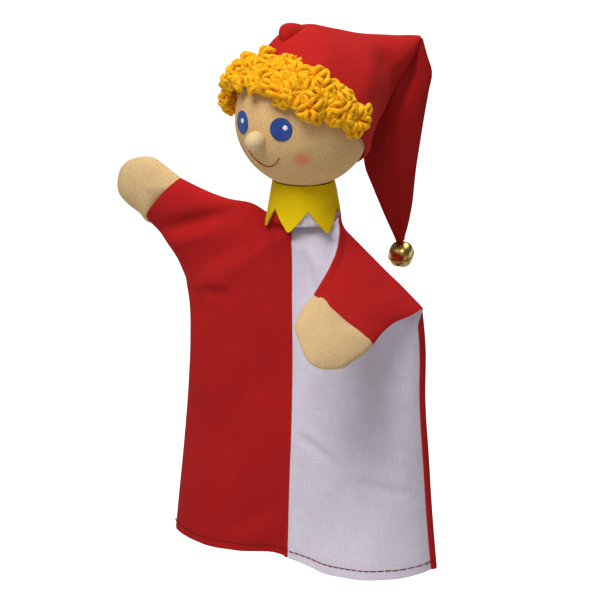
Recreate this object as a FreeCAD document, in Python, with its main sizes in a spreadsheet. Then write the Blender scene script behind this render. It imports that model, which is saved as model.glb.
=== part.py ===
import FreeCAD, Part
import math
import os
import Sketcher

# A glove hand puppet: a clown doll with a cloth body, a ball head on a card
# tube, a long pointed hat and a jingle bell.  The hand goes in at the hem.
# Frame: +Z up, the puppet faces -Y, its left hand is on +X, and the origin is
# the centre of the hem opening.  Millimetres throughout.

Vec = FreeCAD.Vector
doc = FreeCAD.newDocument("hand_puppet")
sheet = doc.addObject("Spreadsheet::Sheet", "dims")

DIMENSIONS = [
    # the cloth body
    ("cloth_wall", 1.2),
    ("seam_gap", 0.3),
    ("hem_half_width", 75.0),
    ("hem_half_depth", 22.0),
    ("belly_height", 45.0),
    ("belly_half_width", 70.0),
    ("belly_half_depth", 18.5),
    ("waist_height", 100.0),
    ("waist_half_width", 65.8),
    ("waist_half_depth", 16.0),
    ("armpit_height", 139.0),
    ("armpit_half_width", 66.5),
    ("armpit_half_depth", 16.0),
    ("chest_top_height", 170.0),
    ("chest_top_half_width", 31.0),
    ("chest_top_half_depth", 16.0),
    ("stitch_height", 4.0),
    ("stitch_width", 0.8),
    # the shoulder folds, one each side
    ("fold_top_out", 22.0),
    ("fold_top_height", 178.0),
    ("fold_depth", 4.0),
    ("fold_slope", 40.9),
    ("fold_clearance", 13.0),
    ("left_fold_rest", 120.0),
    # sleeves, measured along and out from the fold
    ("sleeve_root_out", 12.0),
    ("sleeve_root_along", 29.5),
    ("sleeve_root_half_width", 25.5),
    ("sleeve_root_half_depth", 7.0),
    ("cuff_out", 41.2),
    ("cuff_along", 41.1),
    ("cuff_half_width", 15.3),
    ("right_cuff_half_depth", 9.0),
    ("left_cuff_half_depth", 6.0),
    ("cuff_tilt", 9.4),
    ("cuff_back_gap", 2.5),
    ("hand_front_gap", 4.0),
    ("hand_length", 27.0),
    ("hand_half_width", 16.0),
    ("right_hand_half_depth", 8.5),
    ("left_hand_half_depth", 6.5),
    ("hand_wall", 1.4),
    # the neck
    ("casing_radius", 17.5),
    ("casing_bottom", 177.0),
    ("casing_length", 5.0),
    ("tie_height", 178.0),
    ("tie_width", 1.4),
    ("collar_top_radius", 15.8),
    ("collar_top_height", 200.0),
    ("collar_tip_radius", 20.4),
    ("collar_tip_height", 177.0),
    ("collar_notch_height", 187.5),
    ("collar_wall", 1.3),
    ("tube_radius", 12.0),
    ("tube_bore_radius", 9.5),
    ("tube_bottom", 175.0),
    ("tube_length", 40.0),
    # the head
    ("head_height", 232.1),
    ("head_radius", 35.2),
    ("cover_wall", 1.5),
    ("cover_gap", 0.3),
    ("face_yaw", -17.8),
    ("eye_out", 21.8),
    ("eye_up", 2.2),
    ("eye_radius", 6.0),
    ("eye_wall", 0.7),
    ("glint_radius", 1.4),
    ("nose_up", -8.5),
    ("nose_radius", 5.2),
    ("mouth_half_width", 10.0),
    ("mouth_height", -31.0),
    ("mouth_width", 1.1),
    ("hair_outer_radius", 45.5),
    ("hair_band_width", 17.0),
    ("rim_tilt", 50.5),
    ("rim_offset", 1.2),
    # the hat
    ("hat_wall", 1.5),
    ("hat_lean", 48.0),
    ("tail_tip_height", 165.3),
    ("tail_tip_out", 56.6),
    # the bell
    ("bell_radius", 6.5),
    ("bell_wall", 0.6),
    ("bell_height", 153.7),
    ("bell_slot", 1.4),
    ("bell_loop_radius", 1.7),
    ("bell_loop_wire", 0.45),
    ("clapper_radius", 1.7),
]

for row, (alias, value) in enumerate(DIMENSIONS, start=1):
    sheet.set("A%d" % row, alias)
    sheet.set("B%d" % row, str(value))
    sheet.setAlias("B%d" % row, alias)
doc.recompute()


def size(alias):
    return float(sheet.get(alias))


def bind(thing, **sizes):
    for name, text in sizes.items():
        thing.setExpression(name, text)
    return thing


def plane_of(body, role):
    return [o for o in body.Origin.OriginFeatures if o.Role == role][0]


def lens_sketch(body, name, width, depth, height, along="0", tilt=0.0):
    """Two arcs meeting in sharp side edges; width and depth are formulas."""
    sketch = body.newObject("Sketcher::SketchObject", name)
    sketch.AttachmentSupport = [(plane_of(body, "XY_Plane"), "")]
    sketch.MapMode = "FlatFace"
    sketch.AttachmentOffset = FreeCAD.Placement(Vec(0, 0, 0), FreeCAD.Rotation(Vec(0, 1, 0), tilt))
    sketch.setExpression(".AttachmentOffset.Base.x", along)
    sketch.setExpression(".AttachmentOffset.Base.z", height)
    a, b = 30.0, 10.0
    r = (a * a + b * b) / (2 * b)
    front = sketch.addGeometry(Part.Arc(Vec(-a, 0, 0), Vec(0, -b, 0), Vec(a, 0, 0)), False)
    back = sketch.addGeometry(Part.Arc(Vec(a, 0, 0), Vec(0, b, 0), Vec(-a, 0, 0)), False)
    rule = Sketcher.Constraint
    sketch.addConstraint(rule("Coincident", front, 2, back, 1))
    sketch.addConstraint(rule("Coincident", back, 2, front, 1))
    sketch.addConstraint(rule("PointOnObject", front, 2, -1))
    sketch.addConstraint(rule("PointOnObject", front, 1, -1))
    right_end = sketch.addConstraint(rule("DistanceX", -1, 1, front, 2, a))
    left_end = sketch.addConstraint(rule("DistanceX", front, 1, -1, 1, a))
    front_bow = sketch.addConstraint(rule("Radius", front, r))
    back_bow = sketch.addConstraint(rule("Radius", back, r))
    for index in (right_end, left_end):
        sketch.setExpression("Constraints[%d]" % index, width)
    bow = "((%s)^2+(%s)^2)/(2*(%s))" % (width, depth, depth)
    for index in (front_bow, back_bow):
        sketch.setExpression("Constraints[%d]" % index, bow)
    return sketch


def loft_body(name, sections, ruled=False):
    """A body lofted through lens sections given as formulas."""
    body = doc.addObject("PartDesign::Body", name)
    sketches = []
    for number, section in enumerate(sections):
        sketches.append(lens_sketch(body, "%s_section_%d" % (name, number), *section))
    doc.recompute()
    loft = body.newObject("PartDesign::AdditiveLoft", name + "_loft")
    loft.Profile = (sketches[0], [""])
    loft.Sections = [(sketch, [""]) for sketch in sketches[1:]]
    loft.Ruled = ruled
    body.Tip = loft
    doc.recompute()
    return body


def boolean(kind, label, base, tool):
    result = doc.addObject("Part::" + kind, label)
    result.Base = base
    result.Tool = tool
    result.Label = label
    return result


def box(name, length, width, height, base):
    made = doc.addObject("Part::Box", name)
    made.Length = length
    made.Width = width
    made.Height = height
    made.Placement.Base = base
    return made


def shape_piece(label, shape, placement=None):
    piece = doc.addObject("Part::Feature", label)
    piece.Label = label
    piece.Shape = shape
    if placement is not None:
        piece.Placement = placement
    return piece


SUB_PARTS = []


def keep(piece, label):
    piece.Label = label
    SUB_PARTS.append(piece)
    return piece


# ---------------------------------------------------------------- the body
STATIONS = ["hem", "belly", "waist", "armpit", "chest_top"]


def station(name, inset_width, inset_depth, shift=""):
    height = "0" if name == "hem" else "dims.%s_height" % name
    return (
        "dims.%s_half_width%s" % (name, inset_width),
        "dims.%s_half_depth%s" % (name, inset_depth),
        height + shift,
    )


def trunk(name, inset_width, inset_depth):
    lower = [station(s, inset_width, inset_depth) for s in STATIONS[:4]]
    upper = [station(s, inset_width, inset_depth) for s in STATIONS[3:]]
    low = loft_body(name + "_skirt", lower)
    high = loft_body(name + "_chest", upper, ruled=True)
    return boolean("Fuse", name, low, high)


# the cloth wall is thicker than it at the side edges, where the seam is
trunk_outside = trunk("trunk_outside", "", "")
trunk_inside = trunk("trunk_inside", "-2.5*dims.cloth_wall", "-dims.cloth_wall")
trunk_shell = boolean("Cut", "trunk_shell", trunk_outside, trunk_inside)

# room beside the chest for each sleeve to fold forward about its slanted line
fold_turn = {
    "left": FreeCAD.Rotation(Vec(0, 1, 0), size("fold_slope")),
    "right": FreeCAD.Rotation(Vec(0, 0, 1), 180) * FreeCAD.Rotation(Vec(0, 1, 0), size("fold_slope")),
}
fold_base = {
    "left": Vec(size("fold_top_out"), 0, size("fold_top_height")),
    "right": Vec(-size("fold_top_out"), 0, size("fold_top_height")),
}
fold_place = {side: FreeCAD.Placement(fold_base[side], fold_turn[side]) for side in fold_base}
shoulder_rooms = []
for side in ("left", "right"):
    room = box("shoulder_room_" + side, 140, 120, 120, Vec(0, 0, 0))
    corner = FreeCAD.Placement(Vec(-3.0, -60, -size("fold_clearance")), FreeCAD.Rotation())
    room.Placement = fold_place[side].multiply(corner)
    shoulder_rooms.append(room)
shoulder_room = boolean("Fuse", "shoulder_room", shoulder_rooms[0], shoulder_rooms[1])
trunk_cloth = boolean("Cut", "trunk_cloth", trunk_shell, shoulder_room)

half_gap = size("seam_gap") / 2
for label, x_low, y_low in (
    ("front_right_panel", -150 - half_gap, -60 - half_gap),
    ("front_left_panel", half_gap, -60 - half_gap),
    ("back_right_panel", -150 - half_gap, half_gap),
    ("back_left_panel", half_gap, half_gap),
):
    quarter = box(label + "_quarter", 150, 60, 240, Vec(x_low, y_low, -5))
    keep(boolean("Common", label, trunk_cloth, quarter), label)

# the sewn line above the hem, a thread ring just outside the cloth


def stitch_ring(name, grow):
    return loft_body(name, [station("hem", grow, grow), station("belly", grow, grow)])


stitch_solid = boolean(
    "Cut",
    "stitch_solid",
    stitch_ring("stitch_outside", "+0.9"),
    stitch_ring("stitch_inside", "+0.3"),
)
stitch_band = box("stitch_band", 200, 100, 1, Vec(-100, -50, 0))
bind(stitch_band, Height="dims.stitch_width")
stitch_band.setExpression(".Placement.Base.z", "dims.stitch_height")
keep(boolean("Common", "hem_stitching", stitch_solid, stitch_band), "hem_stitching")

# ---------------------------------------------------------------- the arms


def sleeve_loft(name, side, inset_width, inset_depth, over):
    root = (
        "dims.sleeve_root_half_width" + inset_width,
        "dims.sleeve_root_half_depth" + inset_depth,
        "dims.sleeve_root_out-%s" % over,
        "dims.sleeve_root_along",
    )
    cuff = (
        "dims.cuff_half_width" + inset_width,
        "dims.%s_cuff_half_depth" % side + inset_depth,
        "dims.cuff_out-dims.cuff_back_gap+%s" % over,
        "dims.cuff_along",
        size("cuff_tilt"),
    )
    return loft_body(name, [root, cuff], ruled=True)


def arm_pose(side):
    """The arm's place in the rest pose: the left one is folded forward."""
    flat = fold_place[side]
    if side == "right":
        return flat
    along = fold_turn["left"].multVec(Vec(1, 0, 0))
    turn = FreeCAD.Rotation(along, size("left_fold_rest"))
    pivot = fold_base["left"] + Vec(0, -size("fold_depth"), 0)
    return FreeCAD.Placement(pivot - turn.multVec(pivot), turn).multiply(flat)


for side in ("right", "left"):
    outside = sleeve_loft(side + "_sleeve_outside", side, "", "", "0")
    inside = sleeve_loft(side + "_sleeve_inside", side, "-2.5*dims.cloth_wall", "-dims.cloth_wall", "0.5")
    sleeve = boolean("Cut", side + "_sleeve_tube", outside, inside)
    # the hand is a rounded mitten, half an ellipsoid with an open mouth
    mitten = doc.addObject("Part::Ellipsoid", side + "_mitten_outside")
    bind(mitten, Radius1="dims.hand_length", Radius2="dims.hand_half_width", Radius3="dims.%s_hand_half_depth" % side)
    bind(mitten, Angle1="0", Angle2="90", Angle3="360")
    hollow = doc.addObject("Part::Ellipsoid", side + "_mitten_inside")
    bind(
        hollow,
        Radius1="dims.hand_length-dims.hand_wall",
        Radius2="dims.hand_half_width-dims.hand_wall",
        Radius3="dims.%s_hand_half_depth-dims.hand_wall" % side,
    )
    bind(hollow, Angle1="-90", Angle2="90", Angle3="360")
    mitt = boolean("Cut", side + "_mitt", mitten, hollow)
    mitt_place = FreeCAD.Placement(
        Vec(size("cuff_along"), 0, size("cuff_out")),
        FreeCAD.Rotation(Vec(0, 1, 0), size("cuff_tilt")),
    ).multiply(FreeCAD.Placement(Vec(0, 0, size("hand_front_gap")), FreeCAD.Rotation()))
    # a piece's own -Y is the puppet's front on the left arm, its back on the right
    own_front = -1 if side == "left" else 1
    for face in ("front", "back"):
        lean = own_front if face == "front" else -own_front
        low = half_gap if lean > 0 else -60 - half_gap
        sleeve_side = box("%s_sleeve_%s_side" % (side, face), 200, 60, 200, Vec(-100, low, -50))
        piece = boolean("Common", "%s_sleeve_%s" % (side, face), sleeve, sleeve_side)
        piece.Placement = arm_pose(side)
        keep(piece, "%s_sleeve_%s" % (side, face))
        mitt_side = box("%s_hand_%s_side" % (side, face), 200, 60, 200, Vec(-100, low, -50))
        piece = boolean("Common", "%s_hand_%s" % (side, face), mitt, mitt_side)
        piece.Placement = arm_pose(side).multiply(mitt_place)
        keep(piece, "%s_hand_%s" % (side, face))

# ---------------------------------------------------------------- the neck


def tube(label, radius, bore, length, height):
    """A plain tube on the Z axis; every argument is a formula."""
    outer = doc.addObject("Part::Cylinder", label + "_outside")
    bind(outer, Radius=radius, Height=length)
    outer.setExpression(".Placement.Base.z", height)
    inner = doc.addObject("Part::Cylinder", label + "_inside")
    bind(inner, Radius=bore, Height="(%s)+2" % length)
    inner.setExpression(".Placement.Base.z", "(%s)-1" % height)
    return keep(boolean("Cut", label, outer, inner), label)


tube("neck_casing", "dims.casing_radius", "dims.casing_radius-dims.cloth_wall", "dims.casing_length", "dims.casing_bottom")
tube("neck_tie", "dims.casing_radius+0.9", "dims.casing_radius+0.3", "dims.tie_width", "dims.tie_height")
tube("neck_tube", "dims.tube_radius", "dims.tube_bore_radius", "dims.tube_length", "dims.tube_bottom")

# the felt collar: a cone turned about the neck, cut into six pointed tabs
collar_body = doc.addObject("PartDesign::Body", "collar_body")
profile = collar_body.newObject("Sketcher::SketchObject", "collar_profile")
profile.AttachmentSupport = [(plane_of(collar_body, "XZ_Plane"), "")]
profile.MapMode = "FlatFace"
rt, zt = size("collar_top_radius"), size("collar_top_height")
rb, zb = size("collar_tip_radius"), size("collar_tip_height")
wall = size("collar_wall")
corners = [Vec(rt, zt, 0), Vec(rt - wall, zt, 0), Vec(rb - wall, zb, 0), Vec(rb, zb, 0)]
for first, second in zip(corners, corners[1:] + corners[:1]):
    profile.addGeometry(Part.LineSegment(first, second), False)
for number in range(4):
    profile.addConstraint(Sketcher.Constraint("Coincident", number, 2, (number + 1) % 4, 1))
profile.addConstraint(Sketcher.Constraint("Horizontal", 0))
profile.addConstraint(Sketcher.Constraint("Horizontal", 2))
for text, geometry, vertical, formula in (
    ("top radius", 0, False, "dims.collar_top_radius"),
    ("inner top radius", 1, False, "dims.collar_top_radius-dims.collar_wall"),
    ("tip radius", 3, False, "dims.collar_tip_radius"),
    ("inner tip radius", 2, False, "dims.collar_tip_radius-dims.collar_wall"),
    ("top height", 0, True, "dims.collar_top_height"),
    ("tip height", 3, True, "dims.collar_tip_height"),
):
    start = profile.Geometry[geometry].StartPoint
    kind = "DistanceY" if vertical else "DistanceX"
    value = start.y if vertical else start.x
    index = profile.addConstraint(Sketcher.Constraint(kind, -1, 1, geometry, 1, value))
    profile.setExpression("Constraints[%d]" % index, formula)
doc.recompute()
turned = collar_body.newObject("PartDesign::Revolution", "collar_turned")
turned.Profile = (profile, [""])
turned.ReferenceAxis = (profile, ["V_Axis"])
turned.Angle = 360
collar_body.Tip = turned
doc.recompute()

notches = []
reach = size("collar_tip_radius") + 8
low = size("collar_tip_height")
peak = size("collar_notch_height")
half = math.radians(25)
for number in range(6):
    # each notch is a wedge seen from the side; blunt tips are left between them
    wide = reach * math.tan(half)
    wedge = Part.makePolygon(
        [
            Vec(reach, -wide, low - 0.5),
            Vec(reach, wide, low - 0.5),
            Vec(reach, 0.8, peak),
            Vec(reach, -0.8, peak),
            Vec(reach, -wide, low - 0.5),
        ]
    )
    inner_wedge = Part.makePolygon(
        [
            Vec(8, -wide * 8 / reach, low - 0.5),
            Vec(8, wide * 8 / reach, low - 0.5),
            Vec(8, 0.4, peak),
            Vec(8, -0.4, peak),
            Vec(8, -wide * 8 / reach, low - 0.5),
        ]
    )
    notch = Part.makeLoft([inner_wedge, wedge], True, True)
    notch.rotate(Vec(0, 0, 0), Vec(0, 0, 1), 60 * number)
    notches.append(notch)
notch_tool = shape_piece("collar_notches", notches[0].multiFuse(notches[1:]))
keep(boolean("Cut", "collar", collar_body, notch_tool), "collar")

# ---------------------------------------------------------------- the head
head_centre = Vec(0, 0, size("head_height"))
yaw = FreeCAD.Rotation(Vec(0, 0, 1), size("face_yaw"))
face_place = FreeCAD.Placement(head_centre, yaw)


def sphere(name, radius):
    ball = doc.addObject("Part::Sphere", name)
    bind(ball, Radius=radius)
    ball.setExpression(".Placement.Base.z", "dims.head_height")
    return ball


def neck_hole(name, radius):
    hole = doc.addObject("Part::Cylinder", name)
    bind(hole, Radius=radius, Height="dims.tube_length+0.3")
    hole.setExpression(".Placement.Base.z", "dims.tube_bottom")
    return hole


cover_outside = sphere("cover_outside", "dims.head_radius")
cover_inside = sphere("cover_inside", "dims.head_radius-dims.cover_wall")
cover_shell = boolean("Cut", "cover_shell", cover_outside, cover_inside)
keep(boolean("Cut", "head_cover", cover_shell, neck_hole("cover_hole", "dims.tube_radius+0.3")), "head_cover")
core_ball = sphere("core_ball", "dims.head_radius-dims.cover_wall-dims.cover_gap")
keep(boolean("Cut", "head_core", core_ball, neck_hole("core_hole", "dims.tube_radius+0.3")), "head_core")


def aim(out, up):
    """Turns +X onto a direction of the face, degrees out to the left and up."""
    turn = FreeCAD.Rotation(Vec(0, 0, 1), -90 + out)
    return yaw * turn * FreeCAD.Rotation(Vec(0, 1, 0), -up)


def disc(label, out, up, radius, inner, thick):
    """A thin round piece that lies on the ball of the head."""
    rod = Part.makeCylinder(radius, 60, Vec(0, 0, 0), Vec(1, 0, 0))
    shell = Part.makeSphere(inner + thick).cut(Part.makeSphere(inner))
    piece = rod.common(shell)
    return keep(shape_piece(label, piece, FreeCAD.Placement(head_centre, aim(out, up))), label)


skin = size("head_radius")
for side, way in (("left", 1), ("right", -1)):
    disc("eye_" + side, way * size("eye_out"), size("eye_up"), size("eye_radius"), skin + 0.15, size("eye_wall"))
    glint_out = {"left": 25.7, "right": -19.6}[side]
    disc("eye_glint_" + side, glint_out, 3.6, size("glint_radius"), skin + 0.15 + size("eye_wall") + 0.1, 0.4)

nose_ball = Part.makeSphere(size("nose_radius"), Vec(skin + 0.45 * size("nose_radius"), 0, 0))
nose_shape = nose_ball.cut(Part.makeSphere(skin + 0.15))
keep(shape_piece("nose", nose_shape, FreeCAD.Placement(head_centre, aim(0, size("nose_up")))), "nose")


def face_point(out, up, radius):
    return aim(out, up).multVec(Vec(radius, 0, 0))


# the mouth: an embroidered cord laid on the ball, low in the middle
mouth_points = []
for number in range(9):
    across = -1 + number / 4
    out = 0.8 + 17.0 * across
    up = -34.5 + 11.5 * across * across
    mouth_points.append(face_point(out, up, skin + 0.2 + size("mouth_width") / 2))
mouth_line = Part.BSplineCurve()
mouth_line.interpolate(mouth_points)
mouth_path = Part.Wire([mouth_line.toShape()])
start_way = mouth_line.tangent(mouth_line.FirstParameter)[0]
mouth_ring = Part.Wire([Part.makeCircle(size("mouth_width") / 2, mouth_points[0], start_way)])
mouth_shape = mouth_path.makePipeShell([mouth_ring], True, False)
keep(shape_piece("mouth", mouth_shape, FreeCAD.Placement(head_centre, FreeCAD.Rotation())), "mouth")

# the hat's rim lies in a plane through the head, high in front and low behind
tilt = math.radians(size("rim_tilt"))
rim_normal = yaw.multVec(Vec(0, math.sin(tilt), math.cos(tilt)))
rim_turn = yaw * FreeCAD.Rotation(Vec(1, 0, 0), -size("rim_tilt"))

# the hair: a band of yarn loops under the front half of the rim
hair_ball = Part.makeSphere(size("hair_outer_radius")).cut(Part.makeSphere(skin + 0.3))
hair_slab = Part.makeBox(120, 55, size("hair_band_width"), Vec(-60, -55, -size("hair_band_width") - 0.2))
hair_shape = hair_ball.common(hair_slab)
hair_shape.Placement = FreeCAD.Placement(head_centre, rim_turn)

# ---------------------------------------------------------------- the hat
lean = math.radians(size("hat_lean"))
lean_out = Vec(math.cos(lean), math.sin(lean), 0)
lean_side = Vec(-math.sin(lean), math.cos(lean), 0)


def hat_point(out, height):
    return lean_out * out + Vec(0, 0, height)


def ring_wire(centre, first, second):
    """A smooth closed ring of sixteen points with two half-axes."""
    points = []
    for number in range(16):
        turn = 2 * math.pi * number / 16
        points.append(centre + first * math.cos(turn) + second * math.sin(turn))
    curve = Part.BSplineCurve()
    curve.interpolate(Points=points, PeriodicFlag=True)
    return Part.Wire([curve.toShape()])


def fold_ring(front, back, half_width, inset):
    """A ring across the hat between a front and a back edge point."""
    front, back = hat_point(*front), hat_point(*back)
    centre = (front + back) * 0.5
    half_axis = (back - front) * 0.5
    length = half_axis.Length
    half_axis = half_axis * ((length - inset) / length)
    return ring_wire(centre, half_axis, lean_side * (half_width - inset))


# front edge, back edge and half-width of the folded hat, rim to corner
CROWN = [
    ((-17.0, 270.0), (40.0, 214.0), 36.0),
    ((0.0, 281.0), (52.0, 238.0), 26.0),
    ((34.0, 274.5), (61.0, 253.0), 11.5),
    ((58.0, 270.5), (65.5, 260.5), 4.5),
]


below_rim = Part.makeBox(200, 200, 80, Vec(-100, -100, -80 + size("rim_offset")))
below_rim.Placement = FreeCAD.Placement(head_centre, rim_turn)


def crown(inset):
    rim_radius = skin + 0.5 + size("hat_wall") - inset
    centre = head_centre + rim_normal * size("rim_offset")
    below = head_centre - rim_normal * 8.0
    across = lean_out - rim_normal * lean_out.dot(rim_normal)
    across.normalize()
    beside = rim_normal.cross(across)
    if beside.dot(lean_side) < 0:
        beside = beside * -1
    rings = [ring_wire(place, across * rim_radius, beside * rim_radius) for place in (below, centre)]
    rings += [fold_ring(front, back, half_width, inset) for front, back, half_width in CROWN]
    # the loft starts below the rim and is trimmed flat along the rim's plane
    return Part.makeLoft(rings, True, False).cut(below_rim)


crown_shape = crown(0).cut(crown(size("hat_wall")))
crown_shape = crown_shape.cut(Part.makeSphere(skin + 0.35, head_centre))
keep(shape_piece("hat_crown", crown_shape), "hat_crown")

keep(shape_piece("hair_fringe", hair_shape), "hair_fringe")

# centre out, height, half-width and half-depth of the hanging tail
TAIL = [
    (68.0, 252.0, 3.5, 4.5),
    (63.0, 238.0, 6.8, 6.0),
    (56.8, 222.0, 10.5, 6.0),
    (51.5, 206.0, 13.5, 5.5),
    (51.5, 190.0, 11.8, 5.0),
    (54.2, 175.0, 7.0, 4.0),
    (size("tail_tip_out"), size("tail_tip_height"), 2.2, 2.2),
]
tail_rings = []
for out, height, half_width, half_depth in TAIL:
    tail_rings.append(ring_wire(hat_point(out, height), lean_out * half_width, lean_side * half_depth))
keep(shape_piece("hat_tail", Part.makeLoft(tail_rings, True, False)), "hat_tail")

# ---------------------------------------------------------------- the bell
bell_place = FreeCAD.Placement(hat_point(size("tail_tip_out"), size("bell_height")), FreeCAD.Rotation(Vec(0, 0, 1), size("hat_lean")))
radius = size("bell_radius")
bell_ball = Part.makeSphere(radius).cut(Part.makeSphere(radius - size("bell_wall")))
upper = bell_ball.common(Part.makeBox(20, 20, 10, Vec(-10, -10, 0.15)))
lower = bell_ball.common(Part.makeBox(20, 20, 10, Vec(-10, -10, -10.15)))
slot = size("bell_slot")
slots = Part.makeBox(9, slot, 9, Vec(-4.5, -slot / 2, -10)).fuse(Part.makeBox(slot, 9, 9, Vec(-slot / 2, -4.5, -10)))
lower = lower.cut(slots)
for way_x, way_y in ((4.5, 0), (-4.5, 0), (0, 4.5), (0, -4.5)):
    lower = lower.cut(Part.makeCylinder(1.1, 6, Vec(way_x, way_y, -7)))
keep(shape_piece("bell_upper_shell", upper, bell_place), "bell_upper_shell")
keep(shape_piece("bell_lower_shell", lower, bell_place), "bell_lower_shell")

loop = doc.addObject("Part::Torus", "bell_loop")
bind(loop, Radius1="dims.bell_loop_radius", Radius2="dims.bell_loop_wire")
loop.Placement = bell_place.multiply(
    FreeCAD.Placement(
        Vec(0, 0, radius + size("bell_loop_radius") + size("bell_loop_wire") + 0.1),
        FreeCAD.Rotation(Vec(1, 0, 0), 90),
    )
)
keep(loop, "bell_loop")
clapper = doc.addObject("Part::Sphere", "bell_clapper")
bind(clapper, Radius="dims.clapper_radius")
clapper.Placement = bell_place.multiply(FreeCAD.Placement(Vec(0, 0, -3.9), FreeCAD.Rotation()))
keep(clapper, "bell_clapper")

# ---------------------------------------------------------------- writing
doc.recompute()
for thing in doc.Objects:
    if "Invalid" in thing.State or "Error" in thing.State:
        raise RuntimeError("%s failed: %s" % (thing.Label, thing.State))
os.makedirs("parts", exist_ok=True)
for piece in SUB_PARTS:
    if piece.Shape.isNull() or not piece.Shape.isValid():
        raise RuntimeError("%s has no valid shape" % piece.Label)
    if len(piece.Shape.Solids) != 1:
        raise RuntimeError("%s has %d solids" % (piece.Label, len(piece.Shape.Solids)))
    bounds = piece.Shape.BoundBox
    print("%-20s %8.0f mm3  x %6.1f %6.1f  y %6.1f %6.1f  z %6.1f %6.1f" % (
        piece.Label, piece.Shape.Volume, bounds.XMin, bounds.XMax, bounds.YMin, bounds.YMax, bounds.ZMin, bounds.ZMax))
for piece in SUB_PARTS:
    piece.Shape.exportStep("parts/%s.step" % piece.Label)
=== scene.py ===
import random
from contextlib import contextmanager
from math import asin, copysign, cos, degrees, exp, hypot, pi, radians, sin, sqrt

import bmesh
import bpy
import numpy as np
from mathutils import Matrix, Vector, noise


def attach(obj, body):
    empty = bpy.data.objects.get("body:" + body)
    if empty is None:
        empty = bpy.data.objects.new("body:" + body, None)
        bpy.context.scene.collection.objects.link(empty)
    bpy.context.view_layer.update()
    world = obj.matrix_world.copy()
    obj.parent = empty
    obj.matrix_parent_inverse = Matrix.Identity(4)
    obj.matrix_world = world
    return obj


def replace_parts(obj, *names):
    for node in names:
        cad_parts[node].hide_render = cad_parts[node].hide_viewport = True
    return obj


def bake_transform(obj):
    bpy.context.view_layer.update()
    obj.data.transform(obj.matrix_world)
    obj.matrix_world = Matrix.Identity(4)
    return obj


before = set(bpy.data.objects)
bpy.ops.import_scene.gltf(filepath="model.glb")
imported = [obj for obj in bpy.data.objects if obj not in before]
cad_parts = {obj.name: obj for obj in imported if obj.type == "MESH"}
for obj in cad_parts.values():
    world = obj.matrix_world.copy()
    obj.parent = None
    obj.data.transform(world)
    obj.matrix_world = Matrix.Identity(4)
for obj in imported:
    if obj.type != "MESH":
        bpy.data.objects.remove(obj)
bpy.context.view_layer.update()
MM = 0.001

def direction(turn, up):
    """A unit direction: turned from the front to the puppet's left, then raised."""
    return Vector((sin(turn) * cos(up), -cos(turn) * cos(up), sin(up)))


def add_object(name, data):
    made = bpy.data.objects.new(name, data)
    bpy.context.scene.collection.objects.link(made)
    return made


def aim_from(viewer, target, way, distance):
    """Puts a camera or lamp at a distance from its target and points it there."""
    viewer.location = Vector(target) + way * distance
    viewer.rotation_euler = way.to_track_quat("Z", "Y").to_euler()


# ------------------------------------------------------------------ camera
# The view: a little to the puppet's left and a little above.
VIEW_AZIMUTH = radians(22.98)
VIEW_ELEVATION = radians(16.05)
VIEW_DISTANCE = 1.5
VIEW_TARGET = (-0.00208, 0.0, 0.1352)
camera_data = bpy.data.cameras.new("camera")
camera_data.lens = 173.08
camera_data.sensor_width = 36.0
camera_data.clip_end = 50.0
camera = add_object("camera", camera_data)
aim_from(camera, VIEW_TARGET, direction(VIEW_AZIMUTH, VIEW_ELEVATION), VIEW_DISTANCE)
bpy.context.scene.camera = camera
bpy.context.scene.view_settings.view_transform = "Standard"


# --------------------------------------------------------------- materials
def linear(*display):
    """A linear colour from display values of 0 to 255."""
    shares = [value / 255 for value in display]
    return tuple(v / 12.92 if v <= 0.04045 else ((v + 0.055) / 1.055) ** 2.4 for v in shares) + (1.0,)


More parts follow.
